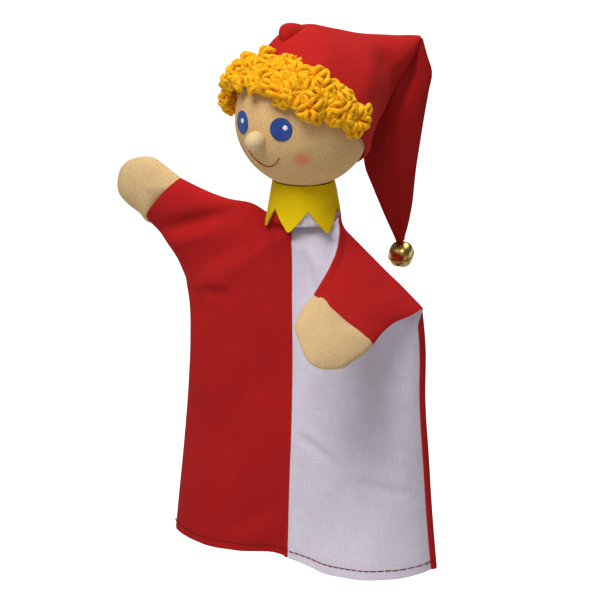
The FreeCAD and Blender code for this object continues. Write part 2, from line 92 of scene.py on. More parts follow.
class Nodes:
    """A short way to write a material's nodes."""

    def __init__(self, name, roughness=0.9, **settings):
        self.material = bpy.data.materials.new(name)
        self.material.use_nodes = True
        self.tree = self.material.node_tree
        self.shader = self.tree.nodes["Principled BSDF"]
        self.shader.inputs["Roughness"].default_value = roughness
        for key, value in settings.items():
            self.shader.inputs[key.replace("_", " ")].default_value = value
        self.coords = self.tree.nodes.new("ShaderNodeTexCoord")

    def add(self, kind, **values):
        node = self.tree.nodes.new("ShaderNode" + kind)
        for key, value in values.items():
            if key in node.inputs:
                node.inputs[key].default_value = value
            else:
                setattr(node, key, value)
        return node

    def link(self, source, target):
        self.tree.links.new(source, target)

    def place(self, scale, source="Object"):
        mapping = self.add("Mapping")
        mapping.inputs["Scale"].default_value = scale
        self.link(self.coords.outputs[source], mapping.inputs["Vector"])
        return mapping.outputs["Vector"]

    def noise(self, scale, detail=3.0, source="Object"):
        node = self.add("TexNoise", Scale=1.0, Detail=detail)
        self.link(self.place(scale, source), node.inputs["Vector"])
        return node.outputs["Fac"]

    def wave(self, scale, direction, source="Object", distortion=0.0):
        node = self.add("TexWave", bands_direction=direction, Scale=1.0, Distortion=distortion)
        node.wave_profile = "SIN"
        self.link(self.place(scale, source), node.inputs["Vector"])
        return node.outputs["Fac"]

    def mix(self, factor, first, second, blend="MIX"):
        """Mixes colours: each a socket, three display values or four linear ones."""
        node = self.add("Mix", data_type="RGBA", blend_type=blend)
        if isinstance(factor, float):
            node.inputs[0].default_value = factor
        else:
            self.link(factor, node.inputs[0])
        for socket, value in ((node.inputs[6], first), (node.inputs[7], second)):
            if isinstance(value, tuple):
                socket.default_value = linear(*value) if len(value) == 3 else value
            else:
                self.link(value, socket)
        return node.outputs[2]

    def math(self, operation, *values):
        node = self.add("Math", operation=operation)
        for socket, value in zip(node.inputs, values):
            if isinstance(value, (int, float)):
                socket.default_value = value
            else:
                self.link(value, socket)
        return node.outputs[0]

    def ramp(self, factor, low, high):
        node = self.add("MapRange", interpolation_type="SMOOTHSTEP")
        node.inputs["From Min"].default_value = low
        node.inputs["From Max"].default_value = high
        self.link(factor, node.inputs["Value"])
        return node.outputs["Result"]

    def bump(self, height, distance, strength=1.0, base=None):
        node = self.add("Bump", Strength=strength, Distance=distance)
        self.link(height, node.inputs["Height"])
        if base is not None:
            self.link(base, node.inputs["Normal"])
        return node.outputs["Normal"]

    def finish(self, colour, normal=None):
        self.link(colour, self.shader.inputs["Base Color"])
        if normal is not None:
            self.link(normal, self.shader.inputs["Normal"])
        return self.material


# millimetres from one band of the wave texture to the next, at a scale of 1
BAND = 314.16
WOVEN_THREAD, KNIT_WALE = 0.8, 1.05
# linear tints that multiply a cloth's dye
WORN_CLOTH = (0.9, 0.9, 0.9, 1.0)
NEW_CLOTH = (1.0, 1.0, 1.0, 1.0)


def woven(name, light, dark, source, slub=0.35):
    """Plain woven cotton: warp and weft threads, slubs and a soft uneven dye."""
    made = Nodes(name, roughness=0.9, Specular_IOR_Level=0.12)
    up = "Y" if source == "UV" else "Z"
    pitch = BAND / WOVEN_THREAD
    warp = made.wave((pitch, 40.0, 40.0), "X", source, distortion=0.4)
    weft = made.wave((40.0, pitch, pitch), up, source, distortion=0.4)
    weave = made.math("MAXIMUM", warp, weft)
    flat = source == "UV"
    slub_up = made.noise((1700.0, 110.0 if flat else 1700.0, 110.0), 2.0, source)
    slub_across = made.noise((110.0, 1700.0 if flat else 110.0, 1700.0), 2.0, source)
    slubs = made.math("MULTIPLY", made.math("ADD", slub_up, slub_across), 0.5)
    cloudy = made.noise((26.0, 26.0, 26.0), 4.0)
    tone = made.math("MULTIPLY_ADD", slubs, slub, 0.5 - slub / 2)
    colour = made.mix(made.ramp(tone, 0.3, 0.7), dark, light)
    worn = made.mix(made.ramp(cloudy, 0.3, 0.8), WORN_CLOTH, NEW_CLOTH)
    colour = made.mix(1.0, colour, worn, "MULTIPLY")
    normal = made.bump(weave, 0.0001, 0.45)
    normal = made.bump(slubs, 0.0003, 0.3, base=normal)
    return made.finish(colour, normal)


def knitted(name, light, dark, blush=None, blush_at=()):
    """Fine knit: rows of stitches up the cloth, with soft mottling."""
    made = Nodes(name, roughness=0.92, Specular_IOR_Level=0.12)
    pitch = BAND / KNIT_WALE
    wales = made.wave((pitch, pitch, 1.0), "X", "UV", distortion=0.25)
    courses = made.wave((30.0, pitch * 1.35, 1.0), "Y", "UV", distortion=0.6)
    stitches = made.math("MULTIPLY", wales, courses)
    grain = made.noise((900.0, 900.0, 620.0), 3.0)
    cloudy = made.noise((45.0, 45.0, 45.0), 3.0)
    tone = made.math("MULTIPLY_ADD", wales, 0.3, grain)
    colour = made.mix(made.ramp(tone, 0.25, 0.95), dark, light)
    colour = made.mix(made.math("MULTIPLY", made.ramp(cloudy, 0.4, 0.8), 0.25), colour, dark)
    for centre, radius, strength in blush_at:
        distance = made.add("VectorMath", operation="DISTANCE")
        distance.inputs[1].default_value = centre
        made.link(made.coords.outputs["Object"], distance.inputs[0])
        patch = made.ramp(distance.outputs["Value"], radius, radius * 0.2)
        patch = made.math("MULTIPLY", patch, made.math("MULTIPLY", made.ramp(grain, 0.2, 0.6), strength))
        colour = made.mix(patch, colour, blush)
    normal = made.bump(stitches, 0.00012, 0.35)
    normal = made.bump(grain, 0.0002, 0.2, base=normal)
    return made.finish(colour, normal)


def felted(name, light, dark):
    made = Nodes(name, roughness=0.95, Specular_IOR_Level=0.1)
    fibres = made.noise((1500.0, 1500.0, 1500.0), 5.0)
    cloudy = made.noise((90.0, 90.0, 60.0), 4.0)
    colour = made.mix(made.ramp(fibres, 0.1, 0.9), dark, light)
    colour = made.mix(made.math("MULTIPLY", made.ramp(cloudy, 0.4, 0.7), 0.25), colour, dark)
    return made.finish(colour, made.bump(fibres, 0.0003, 0.35))


def yarn(name, light, dark, twist=900.0, soft=0.0):
    """Spun yarn: slanted plies along the strand, with stray fibres."""
    made = Nodes(name, roughness=0.85, Specular_IOR_Level=0.15)
    made.shader.inputs["Subsurface Weight"].default_value = soft
    made.shader.inputs["Subsurface Scale"].default_value = 1.0
    made.shader.inputs["Subsurface Radius"].default_value = (0.003, 0.0018, 0.0006)
    plies = made.wave((1.0, 1.0, 1.0), "DIAGONAL", "UV", distortion=0.3)
    fibres = made.noise((twist, twist, twist), 4.0)
    cloudy = made.noise((120.0, 120.0, 120.0), 2.0)
    colour = made.mix(made.ramp(plies, 0.1, 0.8), dark, light)
    colour = made.mix(made.math("MULTIPLY", made.ramp(cloudy, 0.45, 0.75), 0.3), colour, dark)
    normal = made.bump(plies, 0.0002, 0.4)
    normal = made.bump(fibres, 0.0002, 0.3, base=normal)
    return made.finish(colour, normal)


def smooth_paint(name, light, dark, roughness=0.35, grain=(60.0, 60.0, 60.0), bump=0.0001):
    made = Nodes(name, roughness=roughness, Specular_IOR_Level=0.4)
    cloudy = made.noise(grain, 4.0)
    colour = made.mix(made.ramp(cloudy, 0.3, 0.75), dark, light)
    return made.finish(colour, made.bump(made.noise((500.0, 500.0, 500.0), 3.0), bump, 0.4))


def metal(name, light, dark, roughness):
    made = Nodes(name, roughness=roughness, Metallic=1.0)
    cloudy = made.noise((260.0, 260.0, 260.0), 4.0)
    colour = made.mix(made.ramp(cloudy, 0.35, 0.75), light, dark)
    made.link(made.math("MULTIPLY_ADD", cloudy, 0.25, roughness - 0.08), made.shader.inputs["Roughness"])
    return made.finish(colour, made.bump(made.noise((700.0, 700.0, 700.0), 2.0), 0.0002, 0.25))


RED = woven("red_cotton_weave", (194, 34, 33), (174, 25, 26), "UV")
HAT_RED = woven("hat_cotton_weave", (204, 40, 36), (182, 28, 27), "Object")
# the hanging end: a darker copy of the hat's red, painted shade for the shadow it hangs in under the crown
SHADED_TAIL_RED = woven("hat_tail_shaded_weave", (176, 31, 29), (154, 22, 22), "Object")
WHITE = woven("white_cotton_weave", (240, 232, 246), (222, 213, 229), "UV", slub=0.7)
KNIT_HAND = knitted("hand_knit", (228, 196, 145), (208, 173, 123))
FELT = felted("collar_felt", (250, 214, 16), (234, 196, 10))
YARN = yarn("hair_yarn", (255, 194, 30), (255, 168, 14), soft=0.3)
THREAD = yarn("seam_thread", (160, 40, 36), (112, 22, 22), twist=2500.0)
MOUTH = yarn("mouth_thread_twist", (176, 84, 52), (140, 58, 34), twist=2500.0)
BRASS = metal("bell_brass_sheen", (214, 186, 112), (140, 112, 52), 0.28)
STEEL = metal("clapper_steel_sheen", (190, 190, 188), (120, 120, 120), 0.35)
CARD = smooth_paint("neck_card_fibre", (186, 156, 118), (150, 120, 84), 0.85, (300.0, 300.0, 40.0))
PULP = smooth_paint("head_pulp_fibre", (196, 184, 160), (160, 146, 120), 0.9, (120.0, 120.0, 120.0))
NOSE = smooth_paint("nose_wood_grain", (232, 206, 160), (220, 192, 142), 0.6, (30.0, 30.0, 160.0), 0.00004)
EYE = smooth_paint("eye_blue", (40, 76, 156), (32, 64, 138), 0.6, (220.0, 220.0, 220.0), 0.00015)
GLINT = smooth_paint("eye_glint_white", (248, 246, 244), (226, 222, 220), 0.4, (400.0, 400.0, 400.0))


# ------------------------------------------------------------- mesh making
def new_piece(name, points, faces, material, uv):
    """A smooth mesh object from points and cloth coordinates in millimetres."""
    mesh = bpy.data.meshes.new(name)
    mesh.from_pydata([(p[0] * MM, p[1] * MM, p[2] * MM) for p in points], [], faces)
    layer = mesh.uv_layers.new(name="flat")
    for loop in mesh.loops:
        layer.data[loop.index].uv = (uv[loop.vertex_index][0] * MM, uv[loop.vertex_index][1] * MM)
    mesh.polygons.foreach_set("use_smooth", [True] * len(mesh.polygons))
    mesh.materials.append(material)
    return add_object(name, mesh)


def grid_faces(rows, columns, start=0, closed=False):
    faces = []
    for i in range(rows - 1):
        for j in range(columns if closed else columns - 1):
            k = (j + 1) % columns
            a = start + i * columns
            b = a + columns
            faces.append((a + j, a + k, b + k, b + j))
    return faces


@contextmanager
def editing(piece):
    """Opens a piece's mesh for editing and writes it back."""
    work = bmesh.new()
    work.from_mesh(piece.data)
    yield work
    work.to_mesh(piece.data)
    work.free()


def face_way(piece, way):
    """Turns all the faces over if most of them look away from a direction."""
    way = Vector(way)
    if sum(p.normal.dot(way) * p.area for p in piece.data.polygons) < 0:
        piece.data.flip_normals()


def face_out(piece, centre, rise=1.0):
    """Turns all the faces over if most look towards a point, or an axis when rise is 0."""
    total = 0.0
    for face in piece.data.polygons:
        away = face.center - Vector(centre) * MM
        away.z *= rise
        total += away.dot(face.normal) * face.area
    if total < 0:
        piece.data.flip_normals()


def agree_faces(piece):
    """Turns neighbouring faces the same way."""
    with editing(piece) as work:
        bmesh.ops.recalc_face_normals(work, faces=work.faces)


def weld(piece):
    """Joins points that are closer than a fiftieth of a millimetre."""
    with editing(piece) as work:
        bmesh.ops.remove_doubles(work, verts=work.verts, dist=0.00002)


def thicken(piece, thickness):
    """Gives a sheet its thickness, inward from the face that was drawn."""
    solid = piece.modifiers.new("cloth", "SOLIDIFY")
    solid.thickness = thickness * MM
    solid.offset = -1.0
    graph = bpy.context.evaluated_depsgraph_get()
    solid_piece = piece.evaluated_get(graph)
    made = bpy.data.meshes.new_from_object(solid_piece, preserve_all_data_layers=True, depsgraph=graph)
    old = piece.data
    piece.modifiers.clear()
    piece.data = made
    bpy.data.meshes.remove(old)


def crease_edges(piece, limit=50):
    """Marks edges sharper than a number of degrees as hard, so that cloth rims stay crisp."""
    with editing(piece) as work:
        for edge in work.edges:
            edge.smooth = not (len(edge.link_faces) == 2 and edge.calc_face_angle(0.0) > radians(limit))


def coordinates(piece):
    flat = np.empty(len(piece.data.vertices) * 3)
    piece.data.vertices.foreach_get("co", flat)
    return flat.reshape(-1, 3) / MM


def set_coordinates(piece, points):
    piece.data.vertices.foreach_set("co", (np.asarray(points) * MM).ravel())
    piece.data.update()


def end_caps(rows, columns):
    """The two end faces of a closed grid."""
    return [tuple(range(columns)), tuple((rows - 1) * columns + j for j in range(columns))[::-1]]


def turns(count):
    """Angles evenly round a circle."""
    return [2 * pi * j / count for j in range(count)]


def tube(points, radius, sides=8, closed=False):
    """Points, faces and strand coordinates of a tube along points."""
    points = [Vector(p) for p in points]
    count = len(points)
    rings, uv = [], []
    across = None
    run = 0.0
    for i, point in enumerate(points):
        after = points[(i + 1) % count] if closed or i + 1 < count else point
        before = points[i - 1] if closed or i > 0 else point
        way = (after - before).normalized()
        if across is None:
            across = way.orthogonal().normalized()
        across = (across - way * across.dot(way)).normalized()
        beside = way.cross(across)
        thick = radius(i / (count - 1)) if callable(radius) else radius
        for side, turn in enumerate(turns(sides)):
            rings.append(point + (across * cos(turn) + beside * sin(turn)) * thick)
            uv.append((side * 1885.0 / sides, run * 210.0))
        run += (after - point).length
    faces = []
    for i in range(count if closed else count - 1):
        for side in range(sides):
            k = (side + 1) % sides
            a, b = i * sides, ((i + 1) % count) * sides
            faces.append((a + side, a + k, b + k, b + side))
    if not closed:
        faces.append(tuple(range(sides))[::-1])
        faces.append(tuple((count - 1) * sides + s for s in range(sides)))
    return rings, faces, uv


def gather(parts):
    """Joins point, face and strand lists into one."""
    points, faces, uv = [], [], []
    for more_points, more_faces, more_uv in parts:
        start = len(points)
        points += more_points
        uv += more_uv
        faces += [tuple(start + i for i in face) for face in more_faces]
    return points, faces, uv


def spline(a, b, c, d, t):
    """A smooth in-between of b and c, a share t of the way along."""
    return 0.5 * (2 * b + (c - a) * t + (2 * a - 5 * b + 4 * c - d) * t**2 + (3 * b - a - 3 * c + d) * t**3)


def smooth_table(knots):
    """A smooth curve through (place, value) knots."""
    places = np.array([k[0] for k in knots], float)
    values = np.array([k[1] for k in knots], float)
    slopes = np.gradient(values, places)

    def at(place):
        place = np.clip(place, places[0], places[-1])
        i = np.clip(np.searchsorted(places, place) - 1, 0, len(places) - 2)
        span = places[i + 1] - places[i]
        t = (place - places[i]) / span
        return (
            (2 * t**3 - 3 * t**2 + 1) * values[i]
            + (t**3 - 2 * t**2 + t) * span * slopes[i]
            + (-2 * t**3 + 3 * t**2) * values[i + 1]
            + (t**3 - t**2) * span * slopes[i + 1]
        )

    return at


def smooth_path(points):
    """A smooth curve through points, by share of its length from 0 to 1."""
    points = np.array(points, float)
    steps = np.linalg.norm(np.diff(points, axis=0), axis=1)
    places = np.concatenate([[0.0], np.cumsum(steps)]) / steps.sum()
    axes = [smooth_table(list(zip(places, points[:, k]))) for k in range(points.shape[1])]
    return lambda share: np.array([float(axis(share)) for axis in axes])


def step(low, high, value):
    t = min(1.0, max(0.0, (value - low) / (high - low)))
    return t * t * (3 - 2 * t)


def hump(value, centre, width):
    return exp(-(((value - centre) / width) ** 2))


def soft_least(first, second, soft):
    h = max(0.0, min(1.0, 0.5 + 0.5 * (second - first) / soft))
    return second * (1 - h) + first * h - soft * h * (1 - h)


# ---------------------------------------------------------- the cloth body
# Measures are in millimetres, from the middle of the hem. Side 1 is the puppet's
# left and side -1 its right; face -1 is the front and face 1 the back.
# The arm folds about a line that runs down from beside the neck.
FOLD_TOP = (22.0, 178.0)
FOLD_DEPTH = -4.0
FOLD_SLOPE = radians(40.9)
FOLD_ALONG = (cos(FOLD_SLOPE), -sin(FOLD_SLOPE))
FOLD_OUT = (sin(FOLD_SLOPE), cos(FOLD_SLOPE))
# the left arm rests folded forward, across a narrow band of cloth
LEFT_FOLD = radians(120.0)
LEFT_PIVOT = np.array([FOLD_TOP[0], FOLD_DEPTH, FOLD_TOP[1]])
BLEND_LEFT_HALF = 1.6
BLEND_LEFT_TURN = radians(-55)
BLEND_LEFT_WAY = np.array([
    cos(BLEND_LEFT_TURN) * FOLD_OUT[0],
    sin(BLEND_LEFT_TURN),
    cos(BLEND_LEFT_TURN) * FOLD_OUT[1],
])
RIGHT_PIVOT = np.array([-FOLD_TOP[0], FOLD_DEPTH, FOLD_TOP[1]])
RIGHT_OUT = np.array([-FOLD_OUT[0], 0.0, FOLD_OUT[1]])
BLEND_RIGHT_HALF = 8.0
ARMPIT = 139.0
SLEEVE_TOP = 180.0
PANEL_TOP = 181.4

# by height: how far out the side edge is, then how deep each face is
EDGE = {
    1: smooth_table([(0, 75.4), (24, 72.8), (51.6, 70.6), (89, 67.9), (127, 67.6), (139, 67.0)]),
    -1: smooth_table([
        (0, 75.2), (14.6, 73.6), (49.4, 69.7), (83.6, 66.6), (106, 65.4), (124, 65.4), (139, 67.0),
    ]),
}
DEPTH = {
    -1: smooth_table([
        (0, 22), (43, 19.5), (71, 17), (106, 15.5), (139, 16), (165, 16.3), (174, 17.1), (182, 17.1),
    ]),
    1: smooth_table([
        (0, 22), (43, 19), (71, 16.5), (106, 15), (139, 15.5), (165, 16.3), (174, 17.1), (182, 17.1),
    ]),
}
# the back panel wraps round the side edge to the seam, this far in and forward
SEAM_BACK = 2.2
SEAM_FRONT = 1.6
SEAM_BACK_TURN = 0.2
SEAM_HALF = 0.75
# half the opening between front and back, at the shoulder fold and at the cuff
FOLD_HALF = {1: 0.3, -1: 7.4}
CUFF_HALF = {1: 3.6, -1: 7.9}
FOLD_SHIFT = {1: -3.2, -1: 0.0}

# sleeve outlines as (along the fold, out from the fold)
SLEEVE_LOWER = {
    1: [(59.5, 0), (58.6, 7.9), (55.6, 19.6), (55.3, 27.3), (56.8, 38.6)],
    -1: [(59.5, 0), (56.2, 12.3), (55.1, 28.5), (56.2, 38.7)],
}
SLEEVE_UPPER = {
    1: [(-3.05, 0), (0.5, 3.0), (6.3, 10.6), (12.2, 23.5), (15.3, 33.3), (18.1, 43.5)],
    -1: [(-3.05, 0), (0.3, 8.3), (10.8, 19.6), (22.5, 37.2), (26.0, 43.7)],
}
CUFF_BOW = {1: 1.2, -1: 0.6}

# soft creases: side, face, from (x, z), to (x, z), half-width, depth
CREASES = [
    (-1, -1, (-32, 182), (-86, 164), 5.0, 4.2),
    (-1, -1, (-66, 141), (-44, 156), 4.0, 2.6),
    (-1, -1, (-60, 136), (-38, 138), 3.5, 1.4),
    (-1, -1, (-20, 178), (-31, 158), 3.0, 2.2),
    (-1, -1, (-12, 179), (-14, 160), 2.2, 1.5),
    (-1, -1, (-60, 122), (-28, 148), 9.0, 1.4),
    (-1, -1, (-44, 20), (-30, 92), 9.0, 1.6),
    (-1, -1, (-12, 30), (-18, 110), 7.0, 1.1),
    (-1, -1, (-28, 3), (-5, 20), 6.0, -1.3),
    (1, -1, (16, 176), (28, 150), 3.5, 2.2),
    (1, -1, (6, 174), (12, 140), 3.0, 1.6),
    (1, -1, (30, 160), (8, 120), 5.0, 1.6),
    (1, -1, (4, 67), (28, 53), 2.6, 1.3),
    (1, -1, (36, 46), (70, 40), 3.0, 1.2),
    (1, -1, (50, 70), (62, 28), 5.0, 1.2),
    (1, -1, (52, 110), (46, 30), 7.0, 1.2),
    (1, -1, (20, 96), (14, 30), 8.0, 1.1),
    (-1, 1, (-30, 165), (-55, 120), 7.0, 2.0),
    (1, 1, (30, 165), (55, 120), 7.0, 1.8),
    (-1, 1, (-30, 30), (-24, 110), 9.0, 1.7),
    (1, 1, (34, 20), (26, 100), 9.0, 1.7),
]


def from_fold(side, along, out, y=0.0):
    """A point of the flat arm by its distances along and out from the shoulder fold."""
    x = FOLD_TOP[0] + FOLD_ALONG[0] * along + FOLD_OUT[0] * out
    z = FOLD_TOP[1] + FOLD_ALONG[1] * along + FOLD_OUT[1] * out
    return (side * x, y, z)


def out_from_fold(x, z):
    return (x - FOLD_TOP[0]) * FOLD_OUT[0] + (z - FOLD_TOP[1]) * FOLD_OUT[1]


def crease_depth(side, face, x, z):
    """How far the cloth sinks at a place, from creases and small unevenness."""
    total = 0.0
    for its_side, its_face, start, end, width, depth in CREASES:
        if (its_side, its_face) != (side, face):
            continue
        ax, az = end[0] - start[0], end[1] - start[1]
        length = hypot(ax, az)
        ax, az = ax / length, az / length
        along = (x - start[0]) * ax + (z - start[1]) * az
        off = -(x - start[0]) * az + (z - start[1]) * ax
        ends = step(-0.2, 0.3, along / length) * (1 - step(0.7, 1.2, along / length))
        total += depth * ends * (hump(off, 0, width) - 0.45 * hump(off, width * 1.5, width))
    uneven = noise.noise(Vector((x / 17.0, z / 34.0, 3.1 * side + face)))
    fine = noise.noise(Vector((x / 7.0, z / 15.0, 8.7 * side - face)))
    return total + 1.3 * uneven + 0.35 * fine


def fold_shift(side, z):
    """How far the side seam leans forward to the fold of the arm."""
    return FOLD_SHIFT[side] * step(108, ARMPIT, z) * (1 - step(176, 180, z))


def edge_at(side, z):
    if z <= ARMPIT:
        return float(EDGE[side](z))
    if z <= SLEEVE_TOP:
        return FOLD_TOP[0] + FOLD_ALONG[0] * (FOLD_TOP[1] - z) / -FOLD_ALONG[1]
    top = FOLD_TOP[0] + FOLD_ALONG[0] * (FOLD_TOP[1] - SLEEVE_TOP) / -FOLD_ALONG[1]
    return top + (16.7 - top) * step(SLEEVE_TOP - 0.2, PANEL_TOP, z)


def wedge(side, face, away):
    """How fast the cloth opens away from the shoulder fold."""
    if side > 0 and face < 0:
        return 0.12 * away + 0.022 * away * away
    return 0.95 * away * away / (away + 14.0)


def round_off(q):
    return max(0.0, 4 * q * (1 - q)) ** 0.6


def seam_half(side, q):
    """Half the gap between front and back; the right sleeve's edges are sewn shut."""
    shut = 0.93 * max(q, 1 - q) ** 40 if side < 0 else 0.0
    return SEAM_HALF * (1 - shut)


def trunk_point(side, face, u, z):
    """A point of the body's cloth: u runs from the middle seam to the edge."""
    edge = edge_at(side, z)
    deep = float(DEPTH[face](z))
    wrap = (1 - step(ARMPIT - 10, ARMPIT, z)) * (1.0 if side > 0 else 0.25)
    curve = 0.62
    flatness = 2.0 + (1.4 * (1 - step(105, ARMPIT, z)) if side > 0 else 0.2)
    middle = fold_shift(side, z)
    if z > ARMPIT:
        q = min(1.0, (z - ARMPIT) / (SLEEVE_TOP - ARMPIT))
        rim = seam_half(side, q) + FOLD_HALF[side] * round_off(q)
        curve = 0.62 - 0.12 * step(ARMPIT, SLEEVE_TOP, z)
    else:
        rim = SEAM_HALF
    if face < 0:
        x = (edge - SEAM_BACK * wrap) * u
        seam = SEAM_FRONT * wrap
        rim_y = -(seam + rim) + middle
        y = rim_y - (deep - seam - rim + middle) * max(0.0, 1 - u**flatness) ** curve
    else:
        turn = 1.0 - 0.07 * wrap
        v = min(1.0, u / turn)
        x = edge * v
        rim_y = rim + middle
        y = rim_y + (deep - rim_y) * max(0.0, 1 - v**flatness) ** curve
        if u > turn and wrap > 0:
            bend = (u - turn) / (1 - turn) * pi / 2
            x = edge - SEAM_BACK * wrap * (1 - cos(bend))
            y = rim_y - (2 * rim + SEAM_FRONT * wrap) * sin(bend)
    if z > ARMPIT:
        # near the shoulder fold the cloth lies in a wedge about the fold line
        out = out_from_fold(x, z)
        full = deep * max(0.0, 1 - u**flatness) ** curve
        loose = 7.0 * (1 - step(0, 0.6, u)) + 12.0 * (1 - step(ARMPIT, ARMPIT + 17, z))
        away = max(0.0, -out)
        lip = rim + face * middle
        near = lip + wedge(side, face, away) + loose
        y = face * (soft_least(full + lip * (u**4), near, 2.0) if z < SLEEVE_TOP else full)
    if z > SLEEVE_TOP:
        share = step(SLEEVE_TOP, PANEL_TOP, z)
        back = SEAM_BACK_TURN * share * (1 if side > 0 else 0) * -face
        turn = asin(min(1.0, u)) * (1 + back)
        close = 1 - 0.02 * step(180.6, PANEL_TOP, z)
        x = edge * sin(turn) * close
        y = face * deep * cos(turn) * close
    fade = step(0.0, 0.06, u) * (1 - step(0.86, 1.0, u)) * (1 - step(168, 177, z))
    y -= face * crease_depth(side, face, x * side, z) * fade
    # the hem: the white half bellies forward and hangs lower, the red is flatter
    low = max(0.0, 1 - z / 75.0) ** 2
    drop = 0.0
    if face < 0 and side > 0:
        y -= 6.5 * hump(x, 42, 26) * low * (1 - u**10)
        drop = -4.2 * step(0, 26, x) * (1 - 0.5 * step(58, 77, x)) * max(0.0, 1 - z / 45.0) ** 2
    if face < 0 and side < 0:
        y += (5.0 * hump(x, 12, 12) * step(0, 4, x) - 2.5 * hump(x, 55, 16)) * low * (1 - u**10)
        drop = -1.2 * hump(x, 40, 20) * low
    if face > 0:
        drop = (-2.2 if side > 0 else 0.0) * step(50, 76, x) * max(0.0, 1 - z / 45.0) ** 2
        y += 1.8 * sin(x / (11.0 + side)) * low * (1 - step(0.8, 1.0, u))
    # the middle seam and the stitched hem pull the cloth in a little
    y -= face * 0.7 * hump(x, 0, 1.1)
    y -= face * 0.35 * hump(z, 4.0, 0.9) * (1 - step(0.9, 1.0, u))
    return (side * x, y, z + drop)


def sleeve_point(side, face, s, q, lower, upper):
    """A point of the sleeve's cloth in the flat pose: s runs out to the cuff."""
    low, high = lower(s), upper(s)
    low0, high0, low1, high1 = lower(0), upper(0), lower(1), upper(1)
    fold = low0 + (high0 - low0) * q
    cuff = low1 + (high1 - low1) * q
    cuff[1] += CUFF_BOW[side] * 4 * q * (1 - q)
    corner = (1 - s) * ((1 - q) * low0 + q * high0) + s * ((1 - q) * low1 + q * high1)
    along, out = (1 - q) * low + q * high + (1 - s) * fold + s * cuff - corner
    half = FOLD_HALF[side] + (CUFF_HALF[side] - FOLD_HALF[side]) * step(0, 0.55, s)
    y = face * (seam_half(side, q) + half * round_off(q))
    y += fold_shift(side, ARMPIT + (SLEEVE_TOP - ARMPIT) * q) * (1 - step(0.0, 1.0, s) * 0.7)
    x, _, z = from_fold(side, along, out)
    fade = round_off(q) * step(0, 0.2, s) * (1 - step(0.85, 1.0, s))
    return (x, y - face * crease_depth(side, face, x, z) * fade, z)


def panel(name, side, face, material):
    """One body panel with its half of a sleeve, as one sheet of cloth."""
    lower_rows = list(np.linspace(0, ARMPIT, 74))
    upper_rows = list(np.linspace(ARMPIT, SLEEVE_TOP, 30))
    top_rows = [180.3, 180.6, 180.9, 181.2, PANEL_TOP]
    columns = [i / 40 for i in range(41)]
    if face > 0:
        columns = columns[:-3] + [0.935, 0.95, 0.962, 0.975, 0.988, 1.0]
    points, uv = [], []
    rows = lower_rows + upper_rows[1:] + top_rows
    for z in rows:
        for u in columns:
            point = trunk_point(side, face, u, z)
            points.append(point)
            uv.append((point[0], z))
    faces = grid_faces(len(rows), len(columns))
    start = len(points)
    lower, upper = smooth_path(SLEEVE_LOWER[side]), smooth_path(SLEEVE_UPPER[side])
    shares = [i / 26 for i in range(27)]
    for z in upper_rows:
        q = (z - ARMPIT) / (SLEEVE_TOP - ARMPIT)
        for s in shares:
            if s == 0:
                point = trunk_point(side, face, 1.0, z)
            else:
                point = sleeve_point(side, face, s, q, lower, upper)
            points.append(point)
            uv.append((point[0], point[2]))
    faces += grid_faces(len(upper_rows), len(shares), start)
    piece = new_piece(name, points, faces, material, uv)
    weld(piece)
    face_way(piece, (0, face, 0))
    ease_shoulder(piece, side)
    return piece


def ease_shoulder(piece, side):
    """Eases the cloth across the line where the sleeve leaves the body."""
    reach, rounds = (11.0, 24) if side < 0 else (3.0, 2)
    with editing(piece) as work:
        near = []
        for vertex in work.verts:
            x, z = vertex.co.x * side / MM, vertex.co.z / MM
            if abs(out_from_fold(x, z)) < reach and z > ARMPIT - 8 and not vertex.is_boundary:
                near.append(vertex)
        for _ in range(rounds):
            bmesh.ops.smooth_vert(
                work, verts=near, factor=0.5, use_axis_x=False, use_axis_y=True, use_axis_z=False
            )


def fold_left(points):
    """Folds the flat left arm forward about its shoulder line. The share of
    the fold at a point is read at its folded place."""
    points = np.array(points, float)
    axis = np.array([FOLD_ALONG[0], 0.0, FOLD_ALONG[1]])
    local = points - LEFT_PIVOT
    along = (local @ axis)[:, None] * axis
    flat = local - along
    turned = np.cross(axis, flat)

    def folded(share):
        angle = share * LEFT_FOLD
        return flat * np.cos(angle)[:, None] + turned * np.sin(angle)[:, None]

    low, high = np.zeros(len(points)), np.ones(len(points))
    for _ in range(40):
        middle = (low + high) / 2
        place = folded(middle) @ BLEND_LEFT_WAY
        t = np.clip((place + BLEND_LEFT_HALF) / (2 * BLEND_LEFT_HALF), 0, 1)
        above = middle > t * t * (3 - 2 * t)
        high = np.where(above, middle, high)
        low = np.where(above, low, middle)
    return folded((low + high) / 2) + along + LEFT_PIVOT


CLOTH = 0.7
SIDES = ((-1, "right"), (1, "left"))
FACES = ((-1, "front"), (1, "back"))
for side, side_name in SIDES:
    for face, face_name in FACES:
        label = "%s_%s_panel" % (face_name, side_name)
        white = side > 0 and face < 0
        piece = panel(label + "_cloth", side, face, WHITE if white else RED)
        thicken(piece, CLOTH)
        crease_edges(piece)
        if side > 0:
            set_coordinates(piece, fold_left(coordinates(piece)))
            start = LEFT_PIVOT - BLEND_LEFT_WAY * BLEND_LEFT_HALF
            end = LEFT_PIVOT + BLEND_LEFT_WAY * BLEND_LEFT_HALF
            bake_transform(piece)
        else:
            start = RIGHT_PIVOT - RIGHT_OUT * BLEND_RIGHT_HALF
            end = RIGHT_PIVOT + RIGHT_OUT * BLEND_RIGHT_HALF
            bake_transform(piece)
        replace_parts(piece, label, "%s_sleeve_%s" % (side_name, face_name))

